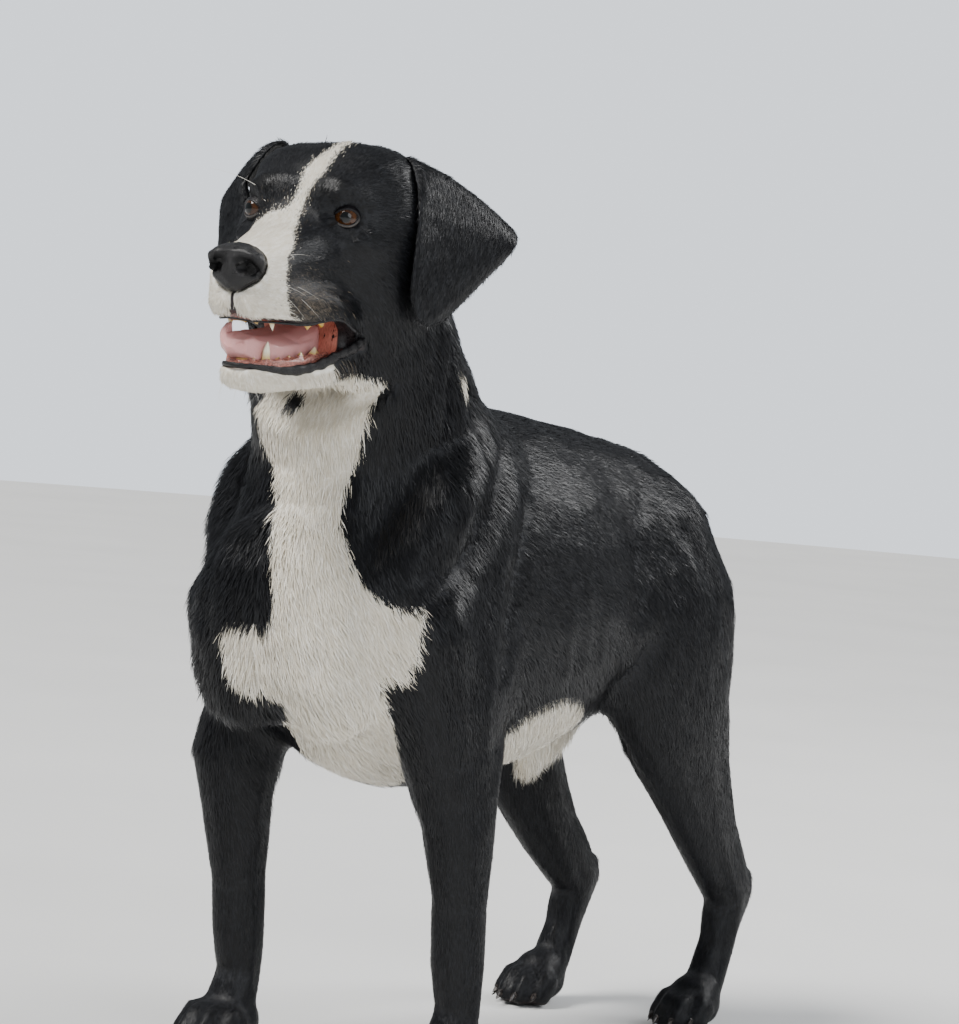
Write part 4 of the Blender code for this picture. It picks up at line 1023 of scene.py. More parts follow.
def open_eyes(points):
    """Draws the skin back round each eye so that its ball lies free in the socket."""
    for name, _ in SIDES:
        centre = from_head([EYES[name]])[0]
        axis = head_turn([EYE_AXIS[name]])[0]
        away = points - centre
        far = np.linalg.norm(away, axis=1)
        way = away / np.maximum(far, 1e-9)[:, None]
        facing = way @ axis
        front = (facing > 0.1) & (far < EYE_RADIUS * 2.2)
        opening = ramp(facing, *np.cos(np.radians(SOCKET_EDGE)))
        wanted = EYE_RADIUS + SOCKET_RISE
        wanted = wanted * (1 - opening) + (EYE_RADIUS - SOCKET_DEPTH) * opening
        shut = front & (opening > 0)
        far = np.where(shut, np.minimum(far, wanted), far)
        beside = front & (opening <= 0)
        far = np.where(beside, np.maximum(far, EYE_RADIUS + 0.0007), far)
        points = centre + way * far[:, None]
    return points


# Scales on the bake map of the parts that skin_parts numbers.
PART_SCALES = (1.6, 1.6, 0.8, 0.8, 0.9, 0.9, 0.9, 0.9)
NODE_SPREAD = 0.0007  # how far each flesh solid is pushed out so that its cuts close
BODY_ROUNDS, HEAD_ROUNDS = 34, 6  # of smoothing
HEAD_SPARED = 0.75  # of the trunk's smoothing, so that the face keeps its form
SOLE_PRESS = 0.0010  # how far the soles are pressed onto the floor


def build_skin(context):
    """One skin over all flesh: even and folded, open at the eyes, and flat under the soles."""
    settings = context.scene.dog_coat
    mesh = remeshed(FLESH, settings.skin_step, BODY_ROUNDS,
                    lambda points: 1 - HEAD_SPARED * near_head(points), NODE_SPREAD)
    mesh = refine(mesh, near_head(points_of(mesh)))
    points = points_of(mesh)
    head_first = np.maximum(near_head(points, 0.01) * 1.0, 0.15)
    points = relax(points, edges_of(mesh), HEAD_ROUNDS, head_first)
    set_points(mesh, points)
    points = points - normals_of(mesh) * (coat_depth(points, settings) + NODE_SPREAD)[:, None]
    set_points(mesh, points)
    points = sculpt(points, normals_of(mesh), FACE_FOLDS, to_head(points))
    points = sculpt(points, normals_of(mesh), BODY_FOLDS)
    points = open_eyes(points)
    points[:, 2] -= SOLE_PRESS * (1 - ramp(points[:, 2], 0.004, 0.020))
    points[:, 2] = np.maximum(points[:, 2], FLOOR_GAP)
    set_points(mesh, points)

    local = to_head(points)
    lip, inner = mouth_masks(local)
    under = normals_of(mesh)[:, 2] < -0.6
    low = 1 - ramp(points[:, 2], 0.08, 0.30)[:, None]
    along_body = np.where(near_head(points)[:, None], local * (1, 0.14, 1), points * (1, 0.16, 1))
    fields = {
        "white": white_field(points), "lip": lip, "inner": inner, "ticking": ticking(local),
        # The spots above the eyes carry painted shade.
        "brow_shade": painted_brow_shade(local), "sole": ((points[:, 2] < 0.006) & under) * 1.0,
        "fibre": along_body * (1 - low) + points * (1, 1, 0.16) * low,
    }
    for name, values in fields.items():
        put_attribute(mesh, name, values)
    unwrap(mesh, skin_parts(mesh), PART_SCALES)
    piece("skin", mesh, skin_material(settings, context.scene.dog_head), FLESH)


def tuck_ear(points, side):
    """Closes the root of the ear on the skull, and lays the right one's flap on the cheek."""
    local = to_head(points)
    root = ramp(local[:, 2], 0.016, 0.030) * ramp(-side * local[:, 0], -0.075, -0.055)
    local[:, 0] -= side * 0.0050 * root
    if side < 0:
        near = ramp(local[:, 0], -0.112, -0.084) * ramp(-local[:, 2], -0.018, 0.006)
        local[:, 0] += 0.015 * near
    return from_head(local)


def build_ears(context):
    """The skin of both ear flaps, in the trunk's finish."""
    settings = context.scene.dog_coat
    coat = bpy.data.materials["short coat over skin"]
    for name, side in SIDES:
        mesh = remeshed(["ear_" + name], EAR_STEP, 10)
        points = tuck_ear(points_of(mesh) - normals_of(mesh) * settings.face_depth, side)
        set_points(mesh, points)
        for field in ("white", "lip", "inner"):
            put_attribute(mesh, field, np.full(len(points), FAR_OUT))
        for field in ("sole", "ticking", "brow_shade"):
            put_attribute(mesh, field, np.zeros(len(points)))
        put_attribute(mesh, "fibre", to_head(points) * (1, 0.5, 0.14))
        unwrap(mesh, np.zeros(len(mesh.polygons), int), (1.0,))
        piece("ear_skin_" + name, mesh, coat, ["ear_" + name])


# ---------------------------------------------------------------- coat


def scatter(made, seed, choose):
    """Roots spread over a skin piece, on the faces that choose picks from their size and place."""
    mesh = made.data
    mesh.calc_loop_triangles()
    corners = get(mesh.loop_triangles, "vertices", 3, np.int32)
    loops = get(mesh.loop_triangles, "loops", 3, np.int32)
    points, normals = points_of(mesh), normals_of(mesh)
    a, b, c = (points[corners[:, k]] for k in range(3))
    area = np.linalg.norm(np.cross(b - a, c - a), axis=1) / 2
    random = np.random.default_rng(seed)
    pick = choose(random, area, (a + b + c) / 3, unit(normals[corners].sum(1)))
    u, v = random.random((2, len(pick)))
    flip = u + v > 1
    u, v = np.where(flip, 1 - u, u), np.where(flip, 1 - v, v)
    share = np.stack([1 - u - v, u, v], 1)

    def at(values, index):
        return (values[index[pick]] * share[:, :, None]).sum(1)

    found = {
        "root": at(points, corners), "normal": unit(at(normals, corners)),
        "uv": at(get(mesh.uv_layers[BAKE_MAP].uv, "vector", 2), loops), "random": random,
    }
    for name in ("white", "lip", "inner", "sole"):
        values = get(mesh.attributes[name].data, "value", 1)
        found[name] = (values[corners[pick]] * share).sum(1)
    return found


def keep(found, mask):
    """Only these of the roots."""
    return {k: (v if k == "random" else v[mask]) for k, v in found.items()}


# The corners of a blade's two faces on the bake map, round the place of its root.
BLADE_PATCH = ((0.4, -0.5), (-0.4, -0.5), (-0.5, 0.0), (0.5, 0.0), (0.5, 0.0), (-0.5, 0.0),
               (0.0, 0.5))
PATCH_SIZE = 0.003
# How much the tufts differ: their length, width and rise as shares, then their turn, tilt and curl.
LONG_SPREAD, WIDE_SPREAD, RISE_SPREAD = (0.7, 1.25), (0.7, 1.3), (0.3, 1.9)
SWAY, TILT, BEND = 0.16, 0.22, 0.05


def tuft_mesh(found, way, facts):
    """Bent blades of two steps each, laid along the coat with their tips a little proud."""
    random, root, normal = found["random"], found["root"], found["normal"]
    size = len(root)
    long = facts[:, 0] * random.uniform(*LONG_SPREAD, size)
    wide = facts[:, 1] * random.uniform(*WIDE_SPREAD, size)
    rise = facts[:, 2] * random.uniform(*RISE_SPREAD, size)
    across = np.cross(normal, way)
    sway = random.normal(0, SWAY, size)[:, None]
    way = unit(way + across * sway)
    across = np.cross(normal, way)
    tilt = random.normal(0, TILT, size)[:, None]
    flat = unit(across + normal * tilt)
    bend = random.normal(0, BEND, size)[:, None]
    l, w, r = long[:, None], wide[:, None], rise[:, None]
    start = root - normal * (0.10 * w + 0.0002)
    middle = root + way * l * 0.5 + normal * l * (r * 0.85 + 0.02)
    tip = root + way * l + normal * l * r * 0.9 + across * l * bend
    points = np.stack([start - flat * w * 0.35, start + flat * w * 0.35,
                       middle - flat * w * 0.5, middle + flat * w * 0.5, tip], 1)
    points[..., 2] = np.maximum(points[..., 2], FLOOR_GAP)
    first = np.arange(size)[:, None] * 5
    loops = (first + np.array([1, 0, 2, 3, 3, 2, 4])).ravel()
    sizes = np.tile([4, 3], size)
    mesh = new_mesh("tufts", points.reshape(-1, 3), loops, sizes)
    shade = random.random(size) * found.get("bright", 1.0)
    put_attribute(mesh, "shade", np.repeat(shade, 5))
    put_attribute(mesh, "along", np.tile([0.0, 0.0, 0.5, 0.5, 1.0], size))
    uv = found["uv"][:, None] + np.array(BLADE_PATCH)[None] * PATCH_SIZE
    layer = mesh.uv_layers.new(name=BAKE_MAP)
    layer.uv.foreach_set("vector", uv.astype(np.float32).ravel())
    lit = unit(normal + across * random.normal(0, 0.08, size)[:, None]
               + way * random.normal(-0.03, 0.06, size)[:, None])
    mesh.shade_smooth()
    mesh.normals_split_custom_set_from_vertices(np.repeat(lit, 5, 0).astype(np.float32))
    return mesh


NOSE_EGG = ((0, -0.098, -0.034), (0.024, 0.016, 0.019))
BARE_EYE = 63  # degrees from the eye's axis, from where hair grows


def bare_of(found):
    """Where no hair grows: the lips' leather, the mouth, the soles, the eyes and the nose."""
    bare = (found["lip"] > -0.0006) | (found["inner"] > -0.001) | (found["sole"] > 0.2)
    for name, _ in SIDES:
        away = found["root"] - from_head([EYES[name]])[0]
        facing = unit(away) @ head_turn([EYE_AXIS[name]])[0]
        bare |= (facing > math.cos(math.radians(BARE_EYE))) & (
            np.linalg.norm(away, axis=1) < EYE_RADIUS * 1.5)
    return bare | (egg_field(to_head(found["root"]), NOSE_EGG) > 0)


TUFTS_PER_PIECE = 62000  # at most
TONES = ("black", "grizzled", "white")
COAT_SEED, EAR_SEED = 11, 31
EAR_TUFTS = 80e4  # to the square metre
EAR_TUFT = (5.6, 0.34, 0.045)  # length and width in mm, and how far it stands off
EDGE_JITTER = (0.0020, 0.0012)  # how ragged the edge of the white is on the muzzle, and elsewhere
GREY_IN_WHITE = 0.25  # of the grizzled tufts that fall in the white


def coat_pieces(found, way, facts, label, materials):
    """The tufts as pieces of one colour each, split from front to back where they are many."""
    for tone, colour in enumerate(TONES):
        index = np.flatnonzero(found["tone"] == tone)
        if not len(index):
            continue
        index = index[np.argsort(found["root"][index, 1], kind="stable")]
        groups = np.array_split(index, math.ceil(len(index) / TUFTS_PER_PIECE))
        for number, part in enumerate(groups, 1):
            mesh = tuft_mesh(keep(found, part), way[part], facts[part])
            piece(f"{label}_{colour}_{number}", mesh, materials[colour], smooth=False)


def ticking(local):
    """How much grey is mixed into the black: along the upper lip behind the white muzzle."""
    back, up = (local[:, 1] + 0.056) / 0.026, (local[:, 2] + 0.062) / 0.018
    out = (local[:, 1] > -0.12) & (local[:, 2] > -0.085) & (np.abs(local[:, 0]) < 0.06)
    return np.exp(-(back ** 2 + up ** 2)) * out * 0.75


def painted_brow_shade(local):
    """Painted shade: the dull, deep black spots above the eyes."""
    across, back, up = np.abs(local[:, 0]) - 0.0270, local[:, 1] + 0.0090, local[:, 2] - 0.0225
    return np.exp(-((across / 0.0110) ** 2 + (back / 0.016) ** 2 + (up / 0.0075) ** 2) ** 2)


def choose_tones(found, local, on_muzzle):
    """Which tone each tuft has, and which are grizzled: by chance near the edges of the white."""
    random, size = found["random"], len(local)
    jitter = np.where(on_muzzle, *EDGE_JITTER)
    white = found["white"] + random.normal(0, 1, size) * jitter > 0
    chin_side = np.exp(-(((local[:, 1] + 0.004) / 0.018) ** 2
                         + ((local[:, 2] + 0.106) / 0.009) ** 2))
    cheek = np.maximum(ticking(local), chin_side * 0.35)
    edge = 0.55 * np.exp(-(found["white"] / 0.0035) ** 2) * on_muzzle
    grizzled = random.random(size) < np.maximum(cheek, edge)
    in_white = random.random(size) < GREY_IN_WHITE
    return np.where(grizzled & (~white | in_white), 1, white * 2), grizzled


def build_coat(context):
    """The tufts of the whole coat: black, grizzled and white, laid along the body."""
    settings = context.scene.dog_coat
    materials = {
        "black": hair_material("black hair", colour4(settings.black_colour),
                               colour4(settings.black_highlight), 0.33, 0.0),
        "grizzled": hair_material("grizzled hair", (0.030, 0.024, 0.018, 1),
                                  (0.26, 0.21, 0.15, 1), 0.45, 0.05),
        "white": hair_material("white hair", colour4(settings.white_shadow),
                               colour4(settings.white_colour), 0.42, 0.12),
    }
    fullness = settings.fullness * 1.0
    skin = bpy.data.objects["skin"]

    def by_density(random, area, centre, facing):
        wanted = area * lie_of(centre, facing)[1][:, 3] * fullness
        return np.repeat(np.arange(len(area)),
                         np.floor(wanted + random.random(len(area))).astype(int))

    found = scatter(skin, COAT_SEED, by_density)
    found = keep(found, ~bare_of(found))
    way, facts = lie_of(found["root"], found["normal"])
    facts[:, 0] *= settings.length
    local = to_head(found["root"])
    on_muzzle = (local[:, 1] < -0.01) & (local[:, 2] > -0.16)
    found["tone"], grizzled = choose_tones(found, local, on_muzzle)
    facts[:, 1] *= np.where(on_muzzle & grizzled, 0.7, 1.0)
    # Fewer light tufts in the painted shade above the eyes.
    found["bright"] = 1 - painted_brow_shade(local)
    coat_pieces(found, way, facts, "coat", materials)
    build_ear_coats(settings, fullness, materials)


def build_ear_coats(settings, fullness, materials):
    """Even short tufts, laid outward over the root of each ear and down its flap."""
    for number, (name, side) in enumerate(SIDES):
        ear = bpy.data.objects["ear_skin_" + name]
        count = int(sum(p.area for p in ear.data.polygons) * EAR_TUFTS * fullness)
        found = scatter(ear, EAR_SEED + number, lambda random, area, *_: random.choice(
            len(area), count, p=area / area.sum()))
        root, normal = found["root"], found["normal"]
        flap = ramp(np.abs(to_head(root)[:, 0]), 0.058, 0.078)[:, None]
        way = head_turn((1 - flap) * (side * 0.9, 0.35, 0.25) + flap * (side * 0.05, -0.40, -0.92))
        way = unit(way - normal * (way * normal).sum(1, keepdims=True) + 1e-6)
        long, wide, rise = EAR_TUFT
        facts = np.tile([long * MM * settings.length, wide * MM, rise, 0], (len(root), 1))
        found["tone"] = np.zeros(len(root), int)
        coat_pieces(found, way, facts, "ear_coat_" + name, materials)


# ---------------------------------------------------------------- eyes


LID_OPEN = (55.0, 28.0, 29.0)  # degrees from the axis: to the corners, up, down
BALL_ROWS, BALL_COLUMNS, LID_COLUMNS = 40, 64, 72
BALL_INSET, CORNEA_RISE = 0.00015, 0.0007
# Each ring of a lid: degrees beyond the opening, height over the ball, how far it follows the
# skin, and how pale its lower half is.
LID_RINGS = (
    (-2.0, -0.0006, 0, 0), (0.0, 0.00025, 0, 0), (1.5, 0.0009, 0, 0.05), (5.0, 0.0012, 0, 0.30),
    (11.0, 0.0012, 0.35, 0), (19.0, 0.0010, 0.85, 0), (30.0, 0.0003, 1.0, 0),
    (38.0, -0.0009, 1.0, 0),
)


def round_axis(axis, polar, turn):
    """Directions from their angle to the eye's axis, and their turn round it from outward to up."""
    level = head_turn([(0, 0, 1)])[0]
    up = unit(level - axis * (level @ axis))
    right = np.cross(up, axis)
    beside = right * np.cos(turn)[:, None] + up * np.sin(turn)[:, None]
    return axis * np.cos(polar)[:, None] + beside * np.sin(polar)[:, None]


def build_eyes(context):
    """Both eyeballs, turned the way they look, and the lids round them."""
    ball, rim = eye_material(context.scene.dog_head), lid_material()
    tree = skin_tree()
    polar = np.repeat(np.linspace(0.0, math.pi, BALL_ROWS), BALL_COLUMNS)
    turn = np.tile(np.arange(BALL_COLUMNS) * 2 * math.pi / BALL_COLUMNS, BALL_ROWS)
    cornea = CORNEA_RISE * (1 - ramp(polar, 0.30, 0.66))
    radius = (EYE_RADIUS - BALL_INSET + cornea)[:, None]
    for name, side in SIDES:
        centre = from_head([EYES[name]])[0]
        way = round_axis(head_turn([GAZE[name]])[0], polar, turn)
        mesh = quad_mesh("eye", centre + way * radius, tube_faces(BALL_ROWS, BALL_COLUMNS))
        bm = bmesh.new()
        bm.from_mesh(mesh)
        bmesh.ops.recalc_face_normals(bm, faces=bm.faces)
        bm.to_mesh(mesh)
        bm.free()
        put_attribute(mesh, "polar", polar)
        put_attribute(mesh, "turn", np.stack([np.cos(turn), np.sin(turn), polar * 0.8], 1))
        piece("eyeball_" + name, mesh, ball, ["eye_" + name])
        make_lids(name, side, centre, tree, rim)


def make_lids(name, side, centre, tree, rim):
    """One ring of lid round the opening: from under its edge, over the rim, out into the skin."""
    turn = np.arange(LID_COLUMNS) * 2 * math.pi / LID_COLUMNS
    corner, top, bottom = LID_OPEN
    tall = np.where(np.sin(turn) > 0, top, bottom)
    inner = -side * np.cos(turn)  # 1 at the corner by the nose
    x = (corner + 9 * inner) * np.cos(turn)
    almond = np.sign(np.sin(turn)) * np.abs(np.sin(turn)) ** 1.25
    y = tall * almond * (1 - 0.15 * np.cos(turn) ** 2) - 2.5 * inner * (inner > 0)
    open_at = np.hypot(x, y)
    phase = np.arctan2(y, x)
    lower = np.clip(-np.sin(turn) * 1.4, 0, 1)
    points, pale = [], []
    for step, lift, snap, paleness in LID_RINGS:
        way = round_axis(head_turn([EYE_AXIS[name]])[0], np.radians(open_at + step), phase)
        ring = centre + way * (EYE_RADIUS + lift)
        if snap:
            for k, point in enumerate(ring):
                found, normal, _, _ = tree.find_nearest(Vector(point))
                target = np.array(found) + np.array(normal) * lift * 0.3
                ring[k] = point * (1 - snap) + target * snap
        points.append(ring)
        pale.append(lower * paleness)
    points = relax_ring(np.array(points))
    mesh = quad_mesh("lids", points.reshape(-1, 3), tube_faces(len(LID_RINGS), LID_COLUMNS))
    put_attribute(mesh, "pale", np.concatenate(pale))
    turn_outward(mesh, points_of(mesh) - centre)
    mesh = evaluated(mesh, "SUBSURF", levels=2, render_levels=2)
    piece("eyelids_" + name, mesh, rim)


def relax_ring(points):
    """Evens out each ring of the lids that follows the skin."""
    for row in range(4, len(points)):
        for _ in range(4):
            points[row] = (points[row] * 2 + np.roll(points[row], 1, 0)
                           + np.roll(points[row], -1, 0)) / 4
    return points


# ---------------------------------------------------------------- nose, mouth, claws, whiskers

# Lines that are pressed into the nose leather.
NOSTRIL = ((0.0085, -0.1120, -0.0272), (0.0140, -0.1096, -0.0295), (0.0180, -0.1052, -0.0335))
NOSE_SLIT = ((0.0182, -0.1052, -0.0330), (0.0212, -0.0990, -0.0385), (0.0220, -0.0940, -0.0410))
PHILTRUM = ((0, -0.1160, -0.0320), (0, -0.1140, -0.0440), (0, -0.1090, -0.0520))
NOSE_STROKES = mirrored([
    (NOSTRIL, 0.0048, -0.0060),
    (NOSE_SLIT, 0.0016, -0.0026),
    (((0.0060, -0.1140, -0.0185), (0.0140, -0.1100, -0.0190), (0.0215, -0.1000, -0.0268)),
     0.0030, 0.0011),
]) + [(PHILTRUM, 0.0012, -0.0018)]


def shaped_piece(node, voxel, rounds, strokes):
    """A node as a fine, smoothed mesh with strokes pressed into it."""
    mesh = remeshed([node], voxel, rounds)
    points = points_of(mesh)
    for _ in range(2):
        half = [(line, width, height / 2) for line, width, height in strokes]
        points = sculpt(points, normals_of(mesh), half, to_head(points))
        set_points(mesh, points)
    return mesh


def paint_nostril_shade(leather):
    """Painted shade: makes the leather black and dull inside the nostrils and the side slits."""
    tree = leather.node_tree
    shader = tree.nodes["Principled BSDF"]
    nostril_shade = attribute(tree, "nostril_shade")
    colour, rough = (shader.inputs[n].links[0].from_socket for n in ("Base Color", "Roughness"))
    finish(tree, shader, blend(tree, nostril_shade, colour, (0.0006, 0.0005, 0.0005, 1)),
           between(tree, nostril_shade, rough, 1.0))
    feed(tree, shader.inputs["Coat Weight"], spread(tree, nostril_shade, 0.0, 1.0, 0.15, 0.0))


def build_nose(context):
    """The nose leather with its nostrils, side slits and middle groove."""
    settings = context.scene.dog_head
    mesh = shaped_piece("nose", NOSE_STEP, 6, NOSE_STROKES)
    local = to_head(points_of(mesh))
    local[:, 0] = np.abs(local[:, 0])
    # Painted shade inside the nostrils and the side slits.
    nostril_shade = np.exp(-(line_distance(local, np.array(NOSTRIL)) / 0.0056) ** 4)
    slit = np.exp(-(line_distance(local, np.array(NOSE_SLIT)) / 0.0016) ** 2)
    put_attribute(mesh, "nostril_shade", np.maximum(nostril_shade, slit))
    leather = leather_material("nose leather", colour4(settings.nose_colour),
                               colour4(settings.nose_colour, 2.6), 1350.0, 0.00035)
    paint_nostril_shade(leather)
    piece("nose_leather", mesh, leather, ["nose"])


TONGUE_GROOVE = (((0, -0.095, -0.0900), (0, -0.060, -0.0930), (0, -0.010, -0.0890)),
                 0.0035, -0.0016)
UPPER_GUM, LOWER_GUM = -0.0735, -0.1012  # heights of the gums' edges in the head's frame


def lay_tongue(mesh):
    """Lets the tongue widen and sag over the teeth, most on the left, and lowers its far tip."""
    local = to_head(points_of(mesh))
    top = np.clip(normals_of(mesh) @ head_turn([(0, 0, 1)])[0] * 1.6 + 0.2, 0, 1)
    body = ramp(local[:, 1], -0.100, -0.080)
    near = local[:, 0] > 0
    local[:, 0] *= 1 + np.where(near, 0.42, 0.12) * body
    fall = np.where(near, 0.0060, 0.0)
    local[:, 2] += (0.0055 * top - 0.0040 * (1 - top)) * body
    local[:, 2] -= fall * body * (local[:, 0] / 0.022) ** 2
    local[:, 2] += (0.0055 * top * np.exp(-((local[:, 0] + 0.007) / 0.013) ** 2)
                    * ramp(local[:, 1], -0.098, -0.080))
    far_tip = ramp(-local[:, 0], -0.004, 0.008) * ramp(-local[:, 1], 0.070, 0.095)
    local[:, 2] -= 0.0045 * top * far_tip
    set_points(mesh, from_head(local))
    set_points(mesh, relax(points_of(mesh), edges_of(mesh), 8))


def build_mouth(context):
    """The tongue, both rows of teeth with their gums, and the lips' leather."""
    settings = context.scene.dog_head
    mesh = shaped_piece("tongue", TONGUE_STEP, 8, [TONGUE_GROOVE])
    lay_tongue(mesh)
    piece("tongue_flesh", mesh, tongue_material(settings), ["tongue"])

    teeth = teeth_material(settings)
    for name, gum, way, dark in (("upper_teeth", UPPER_GUM, -1, 0.10),
                                 ("lower_teeth", LOWER_GUM, 1, 0.03)):
        mesh = remeshed([name], TEETH_STEP, 3)
        local = to_head(points_of(mesh))
        scallop = 0.0006 * np.sin(local[:, 1] * 900)
        put_attribute(mesh, "tooth", (local[:, 2] - gum) * way + scallop)
        put_attribute(mesh, "stain", ramp(local[:, 1], -0.075, -0.055) * (way < 0))
        put_attribute(mesh, "dark", np.full(len(local), dark))
        piece(name + "_row", mesh, teeth, [name])
    build_lips()


# The left halves of the lips' edges from the middle round to the corner of the mouth, and how
# tall, how thick and how lumpy each roll is.
LIPS = {
    "lower_lip": (
        ((0.0000, -0.1020, -0.1005), (0.0110, -0.0960, -0.1030), (0.0180, -0.0815, -0.1060),
         (0.0245, -0.0655, -0.1090), (0.0300, -0.0450, -0.1095), (0.0350, -0.0270, -0.1075),
         (0.0420, -0.0085, -0.1010), (0.0462, 0.0080, -0.0968), (0.0480, 0.0175, -0.0930)),
        0.0040, 0.0024, 0.16),
    "upper_lip": (
        ((0.0000, -0.1075, -0.0745), (0.0100, -0.1030, -0.0740), (0.0240, -0.0799, -0.0745),
         (0.0340, -0.0507, -0.0775), (0.0415, -0.0297, -0.0745), (0.0455, -0.0166, -0.0750),
         (0.0478, -0.0010, -0.0840), (0.0485, 0.0120, -0.0900)),
        0.0015, 0.0010, 0.10),
}
LIP_STEPS, LIP_SIDES = 150, 14


def smooth_line(line, rounds):
    """Evens a line out between its two ends."""
    for _ in range(rounds):
        line[1:-1] = (line[:-2] + 2 * line[1:-1] + line[2:]) / 4
    return line


def build_lips():
    """Rolls of black leather along the lips, lumpy where they near the corners."""
    tree = skin_tree()
    leather = leather_material("lip leather", (0.004, 0.0035, 0.004, 1),
                               (0.020, 0.016, 0.017, 1), 1100.0, 0.0003)
    count = np.arange(LIP_STEPS)
    end = np.clip(np.minimum(count, count[::-1]) / 6.0, 0.15, 1) ** 0.5
    turn = np.arange(LIP_SIDES) * 2 * math.pi / LIP_SIDES
    for name, (half, tall, thick, lumpy) in LIPS.items():
        left = np.array(half)
        line = np.vstack([left[::-1] * (-1, 1, 1), left[1:]])
        at = np.linspace(0, len(line) - 1, LIP_STEPS)
        middle = smooth_line(
            np.stack([np.interp(at, np.arange(len(line)), line[:, k]) for k in range(3)], 1), 12)
        world = from_head(middle)
        for k, point in enumerate(world):
            world[k] = point * 0.5 + np.array(tree.find_nearest(Vector(point))[0]) * 0.5
        world = smooth_line(world, 6)
        along = unit(np.gradient(world, axis=0))
        out = unit(np.cross(along, np.tile(head_turn([(0, 0, 1)])[0], (LIP_STEPS, 1))))
        up = np.cross(out, along)
        back = 0.3 + 0.7 * ramp(middle[:, 1], -0.060, -0.030)
        lump = 1 + back * lumpy * (np.sin(count * 1.05) + 0.7 * np.sin(count * 0.41 + 1.0))
        lump *= 0.48 + 0.52 * ramp(middle[:, 1], -0.095, -0.045)
        ring = (np.cos(turn)[None, :, None] * out[:, None] * thick
                + np.sin(turn)[None, :, None] * up[:, None] * tall)
        points = world[:, None] + ring * (lump * end)[:, None, None]
        mesh = quad_mesh(name, points.reshape(-1, 3), tube_faces(LIP_STEPS, LIP_SIDES))
        turn_outward(mesh, (points - world[:, None]).reshape(-1, 3))
        piece(name, mesh, leather)


def build_claws(context):
    """All claws as one smooth piece."""
    mesh = evaluated(joined_nodes(CLAWS), "SUBSURF", levels=2, render_levels=2)
    piece("claws", mesh, claw_material(context.scene.dog_head), CLAWS)


# Where whiskers grow in the head's frame, the way they point, and their length as a share.
WHISKERS = [
    ((0.026 + 0.004 * c, -0.088 + 0.012 * c, -0.046 - 0.010 * r),
     (0.80, 0.10 + 0.20 * c, -0.25 - 0.35 * r), 0.34 + 0.10 * c)
    for r in range(2) for c in range(3)
] + [
    ((0.027, -0.066, -0.024), (0.80, 0.45, 0.12), 0.36),
    ((0.012, -0.104, -0.118), (0.25, -0.30, -0.90), 0.45),
    ((0.016, -0.092, -0.122), (0.35, -0.05, -0.95), 0.40),
    ((0.005, -0.085, -0.126), (0.10, 0.10, -1.00), 0.50),
    ((0.022, -0.080, -0.119), (0.45, 0.15, -0.90), 0.40),
]
LONG_BROW_WHISKER = ((-0.036, -0.008, 0.018), (-0.78, -0.44, 0.50), 1.60)
WHISKER_RINGS, WHISKER_SIDES = 9, 5
WHISKER_SEED = 5
WHISKER_THICK, BROW_WHISKER_THICK = 0.00011, 0.00020  # radii at the root
WHISKER_DROOP = (0, 0.10, -0.22)


def build_whiskers(context):
    """Thin, tapered, drooping hairs: one row for each side, and one long hair over an eye."""
    reach = context.scene.dog_head.whisker_length
    tree = skin_tree()
    random = np.random.default_rng(WHISKER_SEED)
    rows = [(np.array(p) * (s, 1, 1), np.array(d) * (s, 1, 1), k)
            for p, d, k in WHISKERS for _, s in SIDES]
    rows.append(LONG_BROW_WHISKER)
    points, quads = [], []
    for number, (place, way, share) in enumerate(rows):
        found, normal, _, _ = tree.find_nearest(Vector(from_head([place])[0]))
        root = np.array(found) - np.array(normal) * 0.0006
        steady = number == len(rows) - 1
        way = head_turn([way])[0]
        if not steady:
            way = unit(way + random.normal(0, 0.10, 3))
            share = share * random.uniform(0.85, 1.2)
        across = unit(np.cross(way, (0.1, 0.2, 1.0)))
        over = np.cross(way, across)
        droop = np.array(WHISKER_DROOP) * (1.3 if steady else 1.0)
        for t in np.linspace(0, 1, WHISKER_RINGS):
            middle = root + way * reach * share * t + droop * reach * share * t * t
            thick = (BROW_WHISKER_THICK if steady else WHISKER_THICK) * (1 - 0.8 * t)
            for turn in np.arange(WHISKER_SIDES) * 2 * math.pi / WHISKER_SIDES:
                points.append(middle + (across * math.cos(turn) + over * math.sin(turn)) * thick)
        quads.append(tube_faces(WHISKER_RINGS, WHISKER_SIDES)
                     + number * WHISKER_RINGS * WHISKER_SIDES)
    mesh = quad_mesh("whiskers", np.array(points), np.vstack(quads))
    put_attribute(mesh, "shade", np.full(len(points), 0.9))
    put_attribute(mesh, "along", np.ones(len(points)))
    piece("whiskers", mesh, bpy.data.materials["white hair"])


# ---------------------------------------------------------------- stage

CAMERA_AZIMUTH, CAMERA_HEIGHT, CAMERA_ROLL = 35.78, 2.84, 4.684
CAMERA_TARGET = (0.0122, 0.0120, 0.4636)
CAMERA_LENS, SENSOR = 126.9, 36.0
ROOM_STRENGTH, BACKDROP_STRENGTH = 0.34, 1.1  # of the light all round, and of what shows behind
FLOOR_RADIUS = 9.0
LIT_POINT = Vector((0, 0, 0.4))  # what the side lights are turned to


def set_lamp(name, kind, place, way, **values):
    """Adds a light that shines this way."""
    data = bpy.data.lights.new(name, kind)
    for key, value in values.items():
        setattr(data, key, value)
    lamp = bpy.data.objects.new(name, data)
    lamp.location = place
    lamp.rotation_euler = Vector(way).to_track_quat("-Z", "Y").to_euler()
    bpy.context.scene.collection.objects.link(lamp)


